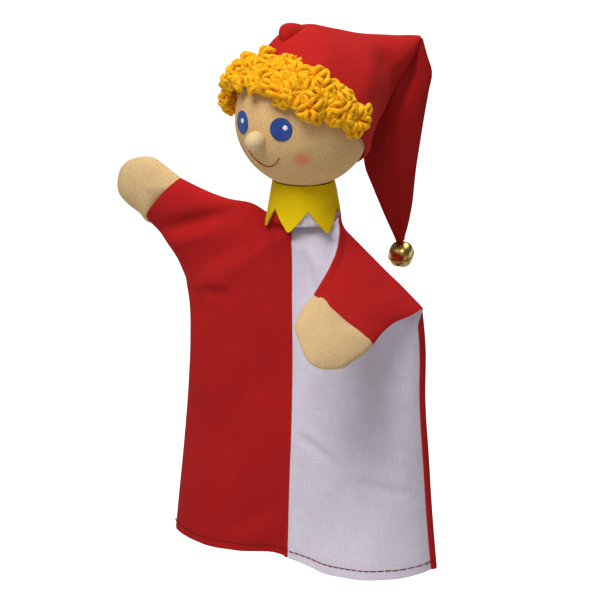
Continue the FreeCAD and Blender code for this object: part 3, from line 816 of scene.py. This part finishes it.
# ---------------------------------------------------------- hem stitching
# along the hem: the length of a stitch and of a stitch with its gap, as shares
STITCH, STITCH_PITCH = 0.039, 0.046
STITCH_HEIGHT, THREAD_RADIUS = 4.0, 0.28
stitches = []
for side, _ in SIDES:
    for face, _ in FACES:
        begin = 0.012
        while begin < 0.985:
            line = []
            for k in range(5):
                point = Vector(trunk_point(side, face, begin + STITCH * k / 4, STITCH_HEIGHT))
                lift = 0.28 - 0.30 * abs(k - 2) / 2
                line.append(point + Vector((0, face * lift, 0)))
            stitches.append(tube(line, THREAD_RADIUS, 6))
            begin += STITCH_PITCH
points, faces, uv = gather(stitches)
stitching = new_piece("hem_stitches", points, faces, THREAD, uv)
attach(stitching, "glove")
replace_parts(stitching, "hem_stitching")

# -------------------------------------------------------------- the hands
# outlines, middles and the lean of the hand as (along the fold, out from the fold)
HAND_OUTLINE = {
    1: [
        (20.5, 38.5), (18.4, 44.5), (19.4, 51.9), (22.2, 60.5), (24.2, 64.2), (29.5, 67.4),
        (37.8, 71.4), (43.9, 72.4), (49.0, 69.6), (53.6, 64.0), (56.0, 59.2), (56.4, 54.0),
        (57.0, 47.5), (56.9, 40.0), (54.5, 35.5), (38.0, 37.0),
    ],
    -1: [
        (27.0, 38.0), (26.2, 44.0), (28.3, 51.4), (29.8, 56.9), (32.3, 62.0), (37.5, 65.9),
        (44.7, 68.4), (51.1, 67.6), (56.8, 63.6), (59.6, 60.0), (60.6, 56.1), (59.7, 49.8),
        (57.5, 42.8), (55.8, 35.5), (41.0, 36.5),
    ],
}
HAND_CENTRE = {1: (38.5, 53.0), -1: (43.5, 51.5)}
HAND_HALF = {1: 5.2, -1: 8.4}
CUFF_CENTRE = (41.1, 41.2)
HAND_LEAN = radians(9.4)
KNIT = 0.8


def closed_curve(points, count):
    """A smooth closed curve through points, evenly spaced."""
    points = np.array(points, float)
    size = len(points)
    dense = []
    for i in range(size):
        near = [points[(i + k - 1) % size] for k in range(4)]
        dense += [spline(*near, t) for t in np.linspace(0, 1, 24, endpoint=False)]
    loop = np.array(dense + dense[:1])
    steps = np.linalg.norm(np.diff(loop, axis=0), axis=1)
    run = np.concatenate([[0], np.cumsum(steps)])
    wanted = np.linspace(0, run[-1], count, endpoint=False)
    return np.stack([np.interp(wanted, run, loop[:, k]) for k in range(2)], axis=1)


def mitten_half(name, side, face):
    outline = closed_curve(HAND_OUTLINE[side], 84)
    centre = np.array(HAND_CENTRE[side])
    shift = FOLD_SHIFT[side] * 0.3
    rings = 15
    points, uv = [], []
    for r in range(rings):
        share = sin(pi / 2 * (r + 1) / rings)
        for along, out in centre + (outline - centre) * share:
            height = HAND_HALF[side] * max(0.0, 1 - share**2) ** 0.55
            sunk = 0.35 * noise.noise(Vector((along / 7, out / 7, side + 2.0 * face)))
            points.append(from_fold(side, along, out, face * (height + sunk * (1 - share**6)) + shift))
            uv.append((along, out))
    count = len(outline)
    faces = grid_faces(rings, count, closed=True)
    middle = len(points)
    points.append(from_fold(side, *centre, face * HAND_HALF[side] + shift))
    uv.append(tuple(centre))
    faces += [(middle, (j + 1) % count, j) for j in range(count)]
    piece = new_piece(name, points, faces, KNIT_HAND, uv)
    agree_faces(piece)
    face_way(piece, (0, face, 0))
    thicken(piece, KNIT)
    crease_edges(piece, 60)
    return piece


def cuff_frame(side):
    """The middle of the cuff and the way the hand points, in the flat pose."""
    along, out = CUFF_CENTRE
    middle = np.array(from_fold(side, along, out))
    ahead = np.array(from_fold(side, along + sin(HAND_LEAN), out + cos(HAND_LEAN)))
    return middle, ahead - middle


for side, side_name in SIDES:
    middle, way = cuff_frame(side)
    start, end = middle + way * 0.5, middle + way * 8.5
    if side > 0:
        start, end = fold_left(np.array([start, end]))
    for face, face_name in FACES:
        piece = mitten_half("%s_mitten_%s" % (side_name, face_name), side, face)
        if side > 0:
            set_coordinates(piece, fold_left(coordinates(piece)))
        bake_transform(piece)
        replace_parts(piece, "%s_hand_%s" % (side_name, face_name))

# ------------------------------------------------------- neck and collar
CASING_LOW, CASING_TALL = 178.8, 12.4
COLLAR_TOP, COLLAR_NOTCH, COLLAR_TIP = 200.0, 187.5, 176.6
NECK_ROUND = 17


def round_neck(turn, radius, height):
    """A point about the neck by its turn from the front to the puppet's left."""
    return (radius * sin(turn), -radius * cos(turn), height)


def casing_radius(share, turn):
    """The gathered cloth on the neck: over the panel tops, drawn in under the collar."""
    return (
        17.4 - 0.95 * share + 0.14 * sin(turn * 17) + 0.08 * sin(turn * 29 + 1.0)
        - 0.75 * (1 - step(0.0, 0.09, share))
        + 1.3 * hump(degrees(turn), 106, 20) * (1 - step(0.2, 0.7, share))
    )


def neck_band(name, start, end, columns, material):
    """The neck's cloth between two turns."""
    rows = 17
    points, uv = [], []
    for i in range(rows):
        share = i / (rows - 1)
        height = CASING_LOW + CASING_TALL * share
        for j in range(columns):
            turn = start + (end - start) * j / (columns - 1)
            points.append(round_neck(turn, casing_radius(share, turn), height))
            uv.append((turn * NECK_ROUND, height))
    piece = new_piece(name, points, grid_faces(rows, columns), material, uv)
    face_out(piece, (0, 0, 0), rise=0.0)
    thicken(piece, CLOTH)
    crease_edges(piece)
    return piece


WHITE_END = radians(108)
white_neck = neck_band("neck_casing_white", 0, WHITE_END, 60, WHITE)
red_neck = neck_band("neck_casing_red", WHITE_END, 2 * pi, 140, RED)
for piece, slot_name in ((white_neck, "white_cotton"), (red_neck, "red_cotton")):
    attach(piece, "neck")
    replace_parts(piece, "neck_casing")


# six tabs round the collar, one in front; how much longer each one is
TABS = 6
TAB_LENGTH = [0.0, 0.8, -2.5, 0.5, -0.5, 0.3]
FELT_THICK = 1.1
rows, columns = 15, TABS * 28
points, uv = [], []
for i in range(rows):
    share = i / (rows - 1)
    for turn in turns(columns):
        number = int(round(turn / (2 * pi / TABS))) % TABS
        place = turn / (2 * pi / TABS) % 1.0
        # 1 at the middle of a tab and 0 at a notch
        tab = 1 - 2 * min(place, 1 - place)
        sharp = min(1.0, tab * 1.06)
        bottom = COLLAR_NOTCH - (COLLAR_NOTCH - COLLAR_TIP + TAB_LENGTH[number]) * sharp
        height = COLLAR_TOP + (bottom - COLLAR_TOP) * share
        down = (COLLAR_TOP - height) / (COLLAR_TOP - COLLAR_TIP)
        uneven = noise.noise(Vector((2.2 * cos(turn), 2.2 * sin(turn), height / 9)))
        radius = 16.0 + 4.2 * down**0.95 + 0.35 * uneven
        radius += 0.9 * max(0.0, down - 0.6) * sin(number * 2.1)
        points.append(round_neck(turn, radius, height))
        uv.append((turn * NECK_ROUND, height))
collar = new_piece("felt_collar", points, grid_faces(rows, columns, closed=True), FELT, uv)
face_out(collar, (0, 0, 0), rise=0.0)
thicken(collar, FELT_THICK)
crease_edges(collar, 60)
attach(collar, "neck")
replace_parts(collar, "collar")

tie_line = []
for turn in turns(96):
    tie_line.append(round_neck(turn, 16.0 + 0.1 * sin(turn * 17), 178.7 + 0.2 * sin(turn)))
points, faces, uv = tube(tie_line, 0.25, 6, closed=True)
tie = new_piece("neck_tie_thread", points, faces, THREAD, uv)
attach(tie, "neck")
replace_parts(tie, "neck_tie")

# -------------------------------------------------------------- the head
HEAD = Vector((0, 0, 232.1))
SKIN = 35.2
YAW = radians(-17.8)
TURN = Matrix.Rotation(YAW, 3, "Z")


def face_way_of(out, up):
    """A direction on the face, in degrees out to the puppet's left and up."""
    return TURN @ direction(radians(out), radians(up))


def face_at(out, up, radius=SKIN):
    return HEAD + face_way_of(out, up) * radius


CHEEKS = [(tuple(face_at(side * 39, -24) * MM), 0.0072, 0.75) for side in (-1, 1)]
KNIT_HEAD = knitted("head_knit", (232, 195, 139), (208, 168, 111), (232, 118, 88), CHEEKS)
HEAD_KNIT = 0.9
LOWEST, HIGHEST = -67.0, 89.0
rows, columns = 60, 120
points, uv = [], []
for i in range(rows):
    up = LOWEST + (HIGHEST - LOWEST) * i / (rows - 1)
    for j in range(columns):
        out = -180 + 360 * j / columns
        radius = SKIN + 0.18 * noise.noise(face_way_of(out, up) * 3.0)
        points.append(face_at(out, up, radius))
        uv.append((radians(out) * SKIN, radians(up) * SKIN))
cover = new_piece("head_cover_knit", points, grid_faces(rows, columns, closed=True), KNIT_HEAD, uv)
face_out(cover, HEAD)
thicken(cover, HEAD_KNIT)
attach(cover, "head")
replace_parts(cover, "head_cover")


def dome(name, out, up, radius, base, rise, material):
    """A thin round piece laid on the ball, with a rounded rim."""
    centre = face_way_of(out, up)
    across = centre.orthogonal().normalized()
    beside = centre.cross(across)
    # (share of the radius, height over the base), out to the rim and down
    profile = [
        (0.35, rise), (0.6, rise), (0.8, rise), (0.9, rise * 0.96),
        (0.97, rise * 0.75), (1.0, rise * 0.3), (1.0, -0.4),
    ]
    points, uv = [], []
    count = 40
    for share, lift in profile:
        bend = radius * share / SKIN
        for turn in turns(count):
            way = centre * cos(bend) + (across * cos(turn) + beside * sin(turn)) * sin(bend)
            points.append(HEAD + way * (base + lift))
            uv.append((radius * share * cos(turn), radius * share * sin(turn)))
    faces = grid_faces(len(profile), count, closed=True)
    middle = len(points)
    points.append(HEAD + centre * (base + rise))
    uv.append((0, 0))
    faces += [(middle, j, (j + 1) % count) for j in range(count)]
    piece = new_piece(name, points, faces, material, uv)
    agree_faces(piece)
    face_way(piece, centre)
    return piece


for side, side_name, glint_out in ((1, "left", 25.6), (-1, "right", -19.6)):
    eye = dome("eye_disc_" + side_name, side * 21.8, 2.2, 6.0, SKIN + 0.05, 0.45, EYE)
    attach(eye, "head")
    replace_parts(eye, "eye_" + side_name)
    glint = dome("eye_dot_" + side_name, glint_out, 4.0, 1.25, SKIN + 0.5, 0.2, GLINT)
    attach(glint, "head")
    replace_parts(glint, "eye_glint_" + side_name)

# the nose: a smooth bead, a little longer than it is wide
nose_way = face_way_of(0, -8.5)
nose_across = face_way_of(90, 0)
nose_beside = nose_way.cross(nose_across)
NOSE_WIDE, NOSE_LONG = 4.95, 5.6
nose_middle = SKIN + 2.6
rows, columns = 22, 36
points, uv = [], []
for i in range(1, rows):
    up = pi * i / rows
    for turn in turns(columns):
        round_way = nose_across * cos(turn) + nose_beside * sin(turn)
        place = HEAD + nose_way * (nose_middle + NOSE_LONG * cos(up)) + round_way * (NOSE_WIDE * sin(up))
        points.append(place)
        uv.append((turn * 5, up * 5))
faces = grid_faces(rows - 1, columns, closed=True)
front = len(points)
back_ring = (rows - 2) * columns
points.append(HEAD + nose_way * (nose_middle + NOSE_LONG))
points.append(HEAD + nose_way * (nose_middle - NOSE_LONG))
uv += [(0, 0), (0, 0)]
faces += [(front, (j + 1) % columns, j) for j in range(columns)]
faces += [(front + 1, back_ring + j, back_ring + (j + 1) % columns) for j in range(columns)]
nose = new_piece("nose_bead", points, faces, NOSE, uv)
agree_faces(nose)
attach(nose, "head")
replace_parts(nose, "nose")

# the mouth: one thin embroidered line, with a small knot at each end
# (degrees out to the puppet's left, degrees up)
MOUTH_LINE = [
    (-16.2, -22.0), (-13.5, -26.4), (-9.9, -30.0), (-3.8, -33.4),
    (4.0, -34.3), (10.0, -32.0), (15.1, -27.8), (17.8, -24.0),
]
mouth_path = smooth_path(MOUTH_LINE)
line = []
for i in range(41):
    out, up = mouth_path(i / 40)
    line.append(face_at(out, up, SKIN + 0.18))
parts = [tube(line, lambda share: 0.24 + 0.08 * sin(pi * share), 8)]
for out, up in (MOUTH_LINE[0], MOUTH_LINE[-1]):
    knot = []
    way = face_way_of(out, up)
    across = way.orthogonal().normalized()
    for i in range(9):
        knot.append(face_at(out, up, SKIN + 0.1) + across * (0.9 * (i / 8 - 0.5)))
    parts.append(tube(knot, lambda share: 0.5 * sqrt(max(0.03, 1 - (2 * share - 1) ** 2)), 8))
points, faces, uv = gather(parts)
mouth = new_piece("mouth_line", points, faces, MOUTH, uv)
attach(mouth, "head")
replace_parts(mouth, "mouth")

# --------------------------------------------------------------- the hair
RIM_TILT = radians(50.5)
RIM_UP = TURN @ Vector((0, sin(RIM_TILT), cos(RIM_TILT)))
RIM_FRONT = TURN @ Vector((0, -cos(RIM_TILT), sin(RIM_TILT)))
RIM_LEFT = TURN @ Vector((1, 0, 0))


def hair_seat(turn, drop, lift):
    """A place on the head by turn from the front, drop below the rim and lift."""
    turn = radians(turn)
    ring = RIM_FRONT * cos(turn) + RIM_LEFT * sin(turn)
    bend = drop / SKIN
    way = ring * cos(bend) - RIM_UP * sin(bend)
    return HEAD + way * (SKIN + lift), way


# how far the fringe hangs below the rim, by degrees from the front
HAIR_LOWER = smooth_table([
    (-85, 5), (-78, 9), (-64, 9.5), (-49, 8.2), (-25, 10.3), (0, 13.0),
    (34, 16.0), (52, 13.6), (69, 8.0), (80, 5.5), (85, 2.5),
])
HAIR_COLUMNS = 15
HAIR_STEP = 7.0
HAIR_PETALS = 10
draw = random.Random(7)
loops = []


def hair_petal(seat, way, flat_way, length, arch):
    """One narrow loop of yarn that arches over from where it is sewn down."""
    beside = flat_way.cross(way).normalized()
    width, thick = draw.uniform(1.7, 2.5), draw.uniform(1.15, 1.45)
    twist = draw.uniform(-0.35, 0.35)
    path = []
    for i in range(20):
        a = 2 * pi * i / 20
        along = (1 - cos(a)) / 2
        p = seat + flat_way * (length * along)
        p = p + beside * (width * sin(a) * abs(sin(a / 2)) ** 0.6)
        p = p + way * (arch * sin(0.88 * pi * along) + twist * sin(a))
        reach = p - HEAD
        least = SKIN + (3.6 if reach.dot(RIM_UP) > -0.5 else 1.5)
        if reach.length < least:
            p = HEAD + reach.normalized() * least
        path.append(p)
    return tube(path, thick, 7, closed=True)


for column in range(HAIR_COLUMNS):
    base_turn = -83 + 166 * (column + 0.5) / HAIR_COLUMNS
    lower = float(HAIR_LOWER(base_turn)) - 3.6
    count = max(1, int(round((lower + 1.5) / HAIR_STEP)) + 1)
    for k in range(count):
        share = (k + 0.5 * (column % 2)) / max(1, count - 0.5)
        drop = -1.0 + (lower + 1.0) * share + draw.uniform(-0.5, 0.5)
        turn = base_turn + draw.uniform(-1.6, 1.6)
        seat, way = hair_seat(turn, drop, 2.0 + 1.8 * step(15, 60, -turn))
        beside = way.cross(RIM_UP).normalized()
        down = way.cross(beside).normalized()
        if down.dot(RIM_UP) > 0:
            down = -down
        first = draw.uniform(0, 360)
        for petal in range(HAIR_PETALS):
            upper = petal % 2
            angle = radians(first + 360 * petal / HAIR_PETALS + draw.uniform(-9, 9))
            flat_way = down * cos(angle) + beside * sin(angle)
            length = draw.uniform(8.0, 10.4) * (1 - 0.22 * upper)
            # loops that point down past the fringe stay short
            length *= 1 - 0.42 * max(0.0, cos(angle)) * (k == count - 1)
            arch = draw.uniform(1.6, 3.4) + 3.0 * upper
            if draw.random() < 0.22:
                length *= 1.2
                arch += 2.2
            loops.append(hair_petal(seat, way, flat_way, length, arch))

# a bed of the same yarn under the loops, so no skin shows between them
bed_points, bed_uv = [], []
for i in range(10):
    for j in range(90):
        turn = -82 + 164 * j / 89
        lower = float(HAIR_LOWER(turn)) - 2.6
        seat, way = hair_seat(turn, -0.5 + (lower + 0.5) * i / 9, 1.3 if 0 < i < 9 else 0.2)
        bump = 0.5 * noise.noise(seat * 0.45)
        bed_points.append(seat + way * bump)
        bed_uv.append((j * 50.0, i * 200.0))
loops.append((bed_points, grid_faces(10, 90), bed_uv))
points, faces, uv = gather(loops)
hair = new_piece("hair_yarn_loops", points, faces, YARN, uv)
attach(hair, "head")
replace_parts(hair, "hair_fringe")

# ---------------------------------------------------------------- the hat
LEAN = radians(48.0)
LEAN_OUT = Vector((cos(LEAN), sin(LEAN), 0))
LEAN_SIDE = Vector((-sin(LEAN), cos(LEAN), 0))


def hat_at(out, height, beside=0.0):
    return LEAN_OUT * out + Vector((0, 0, height)) + LEAN_SIDE * beside


# the hat from rim to corner: ridge (out, height), back (out, height), half-width
CROWN = [
    ((-21.5, 263.0), (33.0, 210.5), 36.6),
    ((-15.0, 272.0), (37.0, 219.0), 34.0),
    ((-7.0, 278.5), (42.0, 228.0), 29.5),
    ((4.0, 280.2), (48.5, 237.0), 23.5),
    ((18.0, 276.8), (53.6, 244.0), 17.5),
    ((34.0, 273.4), (58.2, 250.5), 11.5),
    ((50.0, 271.2), (62.2, 257.5), 6.4),
    ((60.0, 270.2), (64.8, 262.5), 3.0),
    ((66.0, 269.2), (66.6, 266.5), 0.8),
]
RING_COUNT = 72


def crown_ring(front, back, half_width, share):
    ring = []
    front, back = hat_at(*front), hat_at(*back)
    centre, half_axis = (front + back) * 0.5, (back - front) * 0.5
    # towards the corner the ring is pinched to a ridge at the front and a fold behind
    pinch = step(0.15, 0.6, share)
    for turn in turns(RING_COUNT):
        c, s = cos(turn), sin(turn)
        sharp = 0.45 * pinch + (0.5 * c if c > 0 else 0.0)
        wide = copysign(abs(s) ** (1 + sharp), s)
        ring.append(centre + half_axis * c + LEAN_SIDE * (half_width * wide))
    return ring


rim_centre = HEAD + RIM_UP * 1.2
rim_across = (LEAN_OUT - RIM_UP * LEAN_OUT.dot(RIM_UP)).normalized()
rim_beside = RIM_UP.cross(rim_across)
if rim_beside.dot(LEAN_SIDE) < 0:
    rim_beside = -rim_beside
rings = []
# the rim's own rings: height over the rim, radius
for lower, radius in ((-1.0, 36.4), (0.0, 36.9), (3.0, 37.3)):
    ring = []
    for turn in turns(RING_COUNT):
        round_way = rim_across * cos(turn) + rim_beside * sin(turn)
        ring.append(rim_centre + RIM_UP * lower + round_way * radius)
    rings.append(ring)
for number, (front, back, half_width) in enumerate(CROWN):
    rings.append(crown_ring(front, back, half_width, (number + 1) / len(CROWN)))


def between(ring_list, place):
    """A smooth in-between ring."""
    i = min(int(place), len(ring_list) - 2)
    t = place - i
    near = [ring_list[max(0, min(len(ring_list) - 1, i + k - 1))] for k in range(4)]
    return [spline(*(ring[j] for ring in near), t) for j in range(RING_COUNT)]


# soft hollows on the near side: out, height, width, depth
DENTS = [(41.0, 259.0, 9.0, 5.0), (50.0, 250.0, 7.0, 3.0), (33.0, 246.0, 9.0, 1.5), (12.0, 262.0, 14.0, -1.5)]
points, uv = [], []
levels = 60
for i in range(levels):
    place = (len(rings) - 1) * i / (levels - 1)
    for j, p in enumerate(between(rings, place)):
        out = p.dot(LEAN_OUT)
        beside = p.dot(LEAN_SIDE)
        sink = 0.0
        for dent_out, dent_up, width, depth in DENTS:
            away = hypot(out - dent_out, p.z - dent_up)
            sink += depth * hump(away, 0, width)
        sink *= step(0, 6, abs(beside))
        p = p - LEAN_SIDE * (copysign(min(sink, abs(beside) * 0.7), beside))
        uneven = noise.noise(p / 16)
        p = p + (p - HEAD).normalized() * (0.9 * step(2.0, 4.5, place) * uneven)
        reach = p - HEAD
        if reach.length < SKIN + 1.15:
            p = HEAD + reach.normalized() * (SKIN + 1.15)
        points.append(p)
        uv.append((j * 3.2, i * 1.6))
faces = grid_faces(levels, RING_COUNT, closed=True)
faces.append(tuple((levels - 1) * RING_COUNT + j for j in range(RING_COUNT)))
crown = new_piece("hat_crown_cloth", points, faces, HAT_RED, uv)
face_out(crown, HEAD + LEAN_OUT * 15 + Vector((0, 0, 15)))
thicken(crown, CLOTH)
crease_edges(crown, 55)
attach(crown, "head")
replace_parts(crown, "hat_crown")

# the tucked corner of the hat at the front of the ridge
rows, columns = 18, 28
points, uv = [], []
for i in range(1, rows):
    up = pi * i / rows
    long_part = 8.6 * cos(up)
    wide = sin(up) ** 0.7 * (0.86 - 0.30 * cos(up))
    for turn in turns(columns):
        out = -6.2 + 0.93 * long_part - 0.5 * wide * cos(turn)
        height = 276.8 + 0.06 * long_part + 6.2 * wide * cos(turn)
        points.append(hat_at(out, height, -2.0 + 4.8 * wide * sin(turn)))
        uv.append((turn * 6, up * 6))
faces = grid_faces(rows - 1, columns, closed=True) + end_caps(rows - 1, columns)
tuck = new_piece("hat_tuck_cloth", points, faces, HAT_RED, uv)
agree_faces(tuck)
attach(tuck, "head")

# The hanging end. By height below zero: its left edge, its right edge, its depth,
# and the share of its width where it is folded.
TAIL_LEFT = smooth_table([
    (-268, 65.5), (-262, 61.0), (-252, 54.5), (-238, 45.5), (-222, 36.5), (-210, 33.6),
    (-202, 35.0), (-193.5, 38.6), (-171.5, 48.4), (-164, 52.0), (-160.4, 53.6),
])
TAIL_RIGHT = smooth_table([
    (-268, 67.6), (-259, 69.9), (-250, 72.2), (-241, 70.2), (-219.5, 66.3),
    (-201.6, 63.6), (-176.6, 61.0), (-164, 58.2), (-160.4, 57.0),
])
TAIL_DEEP = smooth_table([
    (-268, 1.0), (-262, 2.2), (-250, 4.6), (-238, 6.0), (-222, 6.0), (-206, 5.4),
    (-190, 4.8), (-175, 3.6), (-160.4, 1.6),
])
TAIL_FOLD = smooth_table([
    (-268, 0.5), (-250, 0.52), (-233, 0.50), (-206, 0.56), (-176, 0.55), (-160.4, 0.5),
])
TAIL_TOP, TAIL_END = 268.0, 160.4
levels, section = 64, 96
points, uv = [], []
for i in range(levels):
    height = TAIL_TOP + (TAIL_END - TAIL_TOP) * i / (levels - 1)
    left, right = float(TAIL_LEFT(-height)), float(TAIL_RIGHT(-height))
    deep, fold = float(TAIL_DEEP(-height)), float(TAIL_FOLD(-height))
    for j, turn in enumerate(turns(section)):
        share = 0.5 - 0.5 * cos(turn)
        # the right half lies over the left along one long edge, like cloth folded lengthwise
        turned = step(-0.035, 0.035, share - fold)
        low_rise = 0.15 - 0.35 * min(1.0, share / fold)
        high_rise = 0.36 + 0.2 * max(0.0, share - fold) / (1 - fold)
        valley = deep * (low_rise + (high_rise - low_rise) * turned)
        ends = min(1.0, 5.0 * share) ** 0.5 * min(1.0, 5.0 * (1 - share)) ** 0.5
        layer = (1.1 + 0.22 * deep) * (abs(sin(turn)) ** 0.75) ** 0.5 * ends
        beside = -valley - layer if sin(turn) >= 0 else -valley + layer
        sway = 0.5 * noise.noise(Vector((share * 3, height / 30, 1.5)))
        points.append(hat_at(left + (right - left) * share, height, beside + sway))
        uv.append((j * 1.4, height))
faces = grid_faces(levels, section, closed=True) + end_caps(levels, section)
# the hanging end takes the darker red, which is painted shade and not a different cloth
tail = new_piece("hat_tail_cloth", points, faces, SHADED_TAIL_RED, uv)
agree_faces(tail)
crease_edges(tail, 70)
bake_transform(tail)
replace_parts(tail, "hat_tail")

# --------------------------------------------------------------- the bell
BELL = hat_at(56.6, 153.7)
BELL_TILT = Matrix.Rotation(radians(-16), 3, LEAN_SIDE) @ Matrix.Rotation(radians(18), 3, LEAN_OUT)
BELL_SIZE = 6.35
BELL_SQUARE = 2.9
BELL_SHEET = 0.45


def bell_shell(name, low_share, high_share, slots):
    """Half of the pressed bell: four flat cheeks, a rolled rim and, below, a cross of slots."""
    rows, columns = 44, 128
    points, uv = [], []
    for i in range(rows + 1):
        up = radians(90 - 180 * (low_share + (high_share - low_share) * i / rows))
        for j, turn in enumerate(turns(columns)):
            way = Vector((cos(turn) * cos(up), sin(turn) * cos(up), sin(up)))
            size = sum(abs(v) ** BELL_SQUARE for v in way) ** (-1 / BELL_SQUARE)
            radius = BELL_SIZE * (0.86 * size + 0.14) / 1.02
            radius += 0.45 * hump(degrees(up), 0, 3.2)
            points.append(way * radius)
            uv.append((j, i))
    faces = []
    for face in grid_faces(rows + 1, columns, closed=True):
        middle = sum((points[k] for k in face), Vector()) / 4
        narrow = min(abs(middle.x), abs(middle.y))
        wide = max(abs(middle.x), abs(middle.y))
        in_slot = middle.z < -2.2 and narrow < 0.42
        in_hole = middle.z < 0 and hypot(narrow, hypot(wide - 5.2, middle.z + 2.6)) < 1.15
        if slots and (in_slot or in_hole):
            continue
        faces.append(face)
    turned = [BELL + BELL_TILT @ point for point in points]
    piece = new_piece(name, turned, faces, BRASS, uv)
    weld(piece)
    face_out(piece, BELL)
    with editing(piece) as work:
        bmesh.ops.delete(work, geom=[v for v in work.verts if not v.link_faces], context="VERTS")
    thicken(piece, BELL_SHEET)
    crease_edges(piece)
    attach(piece, "bell")
    return piece


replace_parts(bell_shell("bell_upper_half", 0.0, 0.497, False), "bell_upper_shell")
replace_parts(bell_shell("bell_lower_half", 0.503, 1.0, True), "bell_lower_shell")

# ------------------------------------------------- pieces kept from the CAD
KEPT = {
    "neck_tube": CARD,
    "head_core": PULP,
    "bell_loop": BRASS,
    "bell_clapper": STEEL,
}
for node, material in KEPT.items():
    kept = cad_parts[node]
    kept = bpy.data.objects[kept] if isinstance(kept, str) else kept
    kept.data.materials.clear()
    kept.data.materials.append(material)

# ------------------------------------------------------- floor and lights
floor_mesh = bpy.data.meshes.new("floor")
FLOOR_REACH, FLOOR_DROP = 9, -0.3
corners = [(-1, -1), (1, -1), (1, 1), (-1, 1)]
floor_corners = [(x * FLOOR_REACH, y * FLOOR_REACH, FLOOR_DROP) for x, y in corners]
floor_mesh.from_pydata(floor_corners, [], [(0, 1, 2, 3)])
floor = add_object("floor", floor_mesh)
floor_look = Nodes("floor_pale", roughness=0.9)
floor_look.shader.inputs["Emission Color"].default_value = (1, 1, 1, 1)
behind = floor_look.add("VectorMath", operation="DOT_PRODUCT")
behind.inputs[1].default_value = (-sin(VIEW_AZIMUTH), cos(VIEW_AZIMUTH), 0.0)
floor_look.link(floor_look.coords.outputs["Object"], behind.inputs[0])
glow = floor_look.ramp(behind.outputs["Value"], 0.3, 0.62)
floor_look.link(floor_look.math("MULTIPLY", glow, 0.95), floor_look.shader.inputs["Emission Strength"])
FLOOR_DARK, FLOOR_LIGHT = (0.9, 0.9, 0.9, 1.0), (0.93, 0.93, 0.93, 1.0)
floor_tone = floor_look.mix(floor_look.noise((3.0, 3.0, 3.0)), FLOOR_DARK, FLOOR_LIGHT)
floor.data.materials.append(floor_look.finish(floor_tone))

world = bpy.data.worlds.new("studio")
world.use_nodes = True
background = world.node_tree.nodes["Background"]
background.inputs["Color"].default_value = (1.0, 1.0, 1.0, 1.0)
background.inputs["Strength"].default_value = 0.13
bpy.context.scene.world = world
LAMP_TARGET = (0.0, 0.0, 0.15)


def lamp(name, power, size_m, azimuth, elevation, distance_m):
    data = bpy.data.lights.new(name, "AREA")
    data.energy = power
    data.size = size_m
    aim_from(add_object(name, data), LAMP_TARGET, direction(radians(azimuth), radians(elevation)), distance_m)


lamp("key", 15.5, 0.7, -4.0, 60.0, 1.3)
lamp("fill", 1.9, 0.9, 5.0, 12.0, 1.8)
lamp("back", 7.0, 0.7, 165.0, 55.0, 1.5)
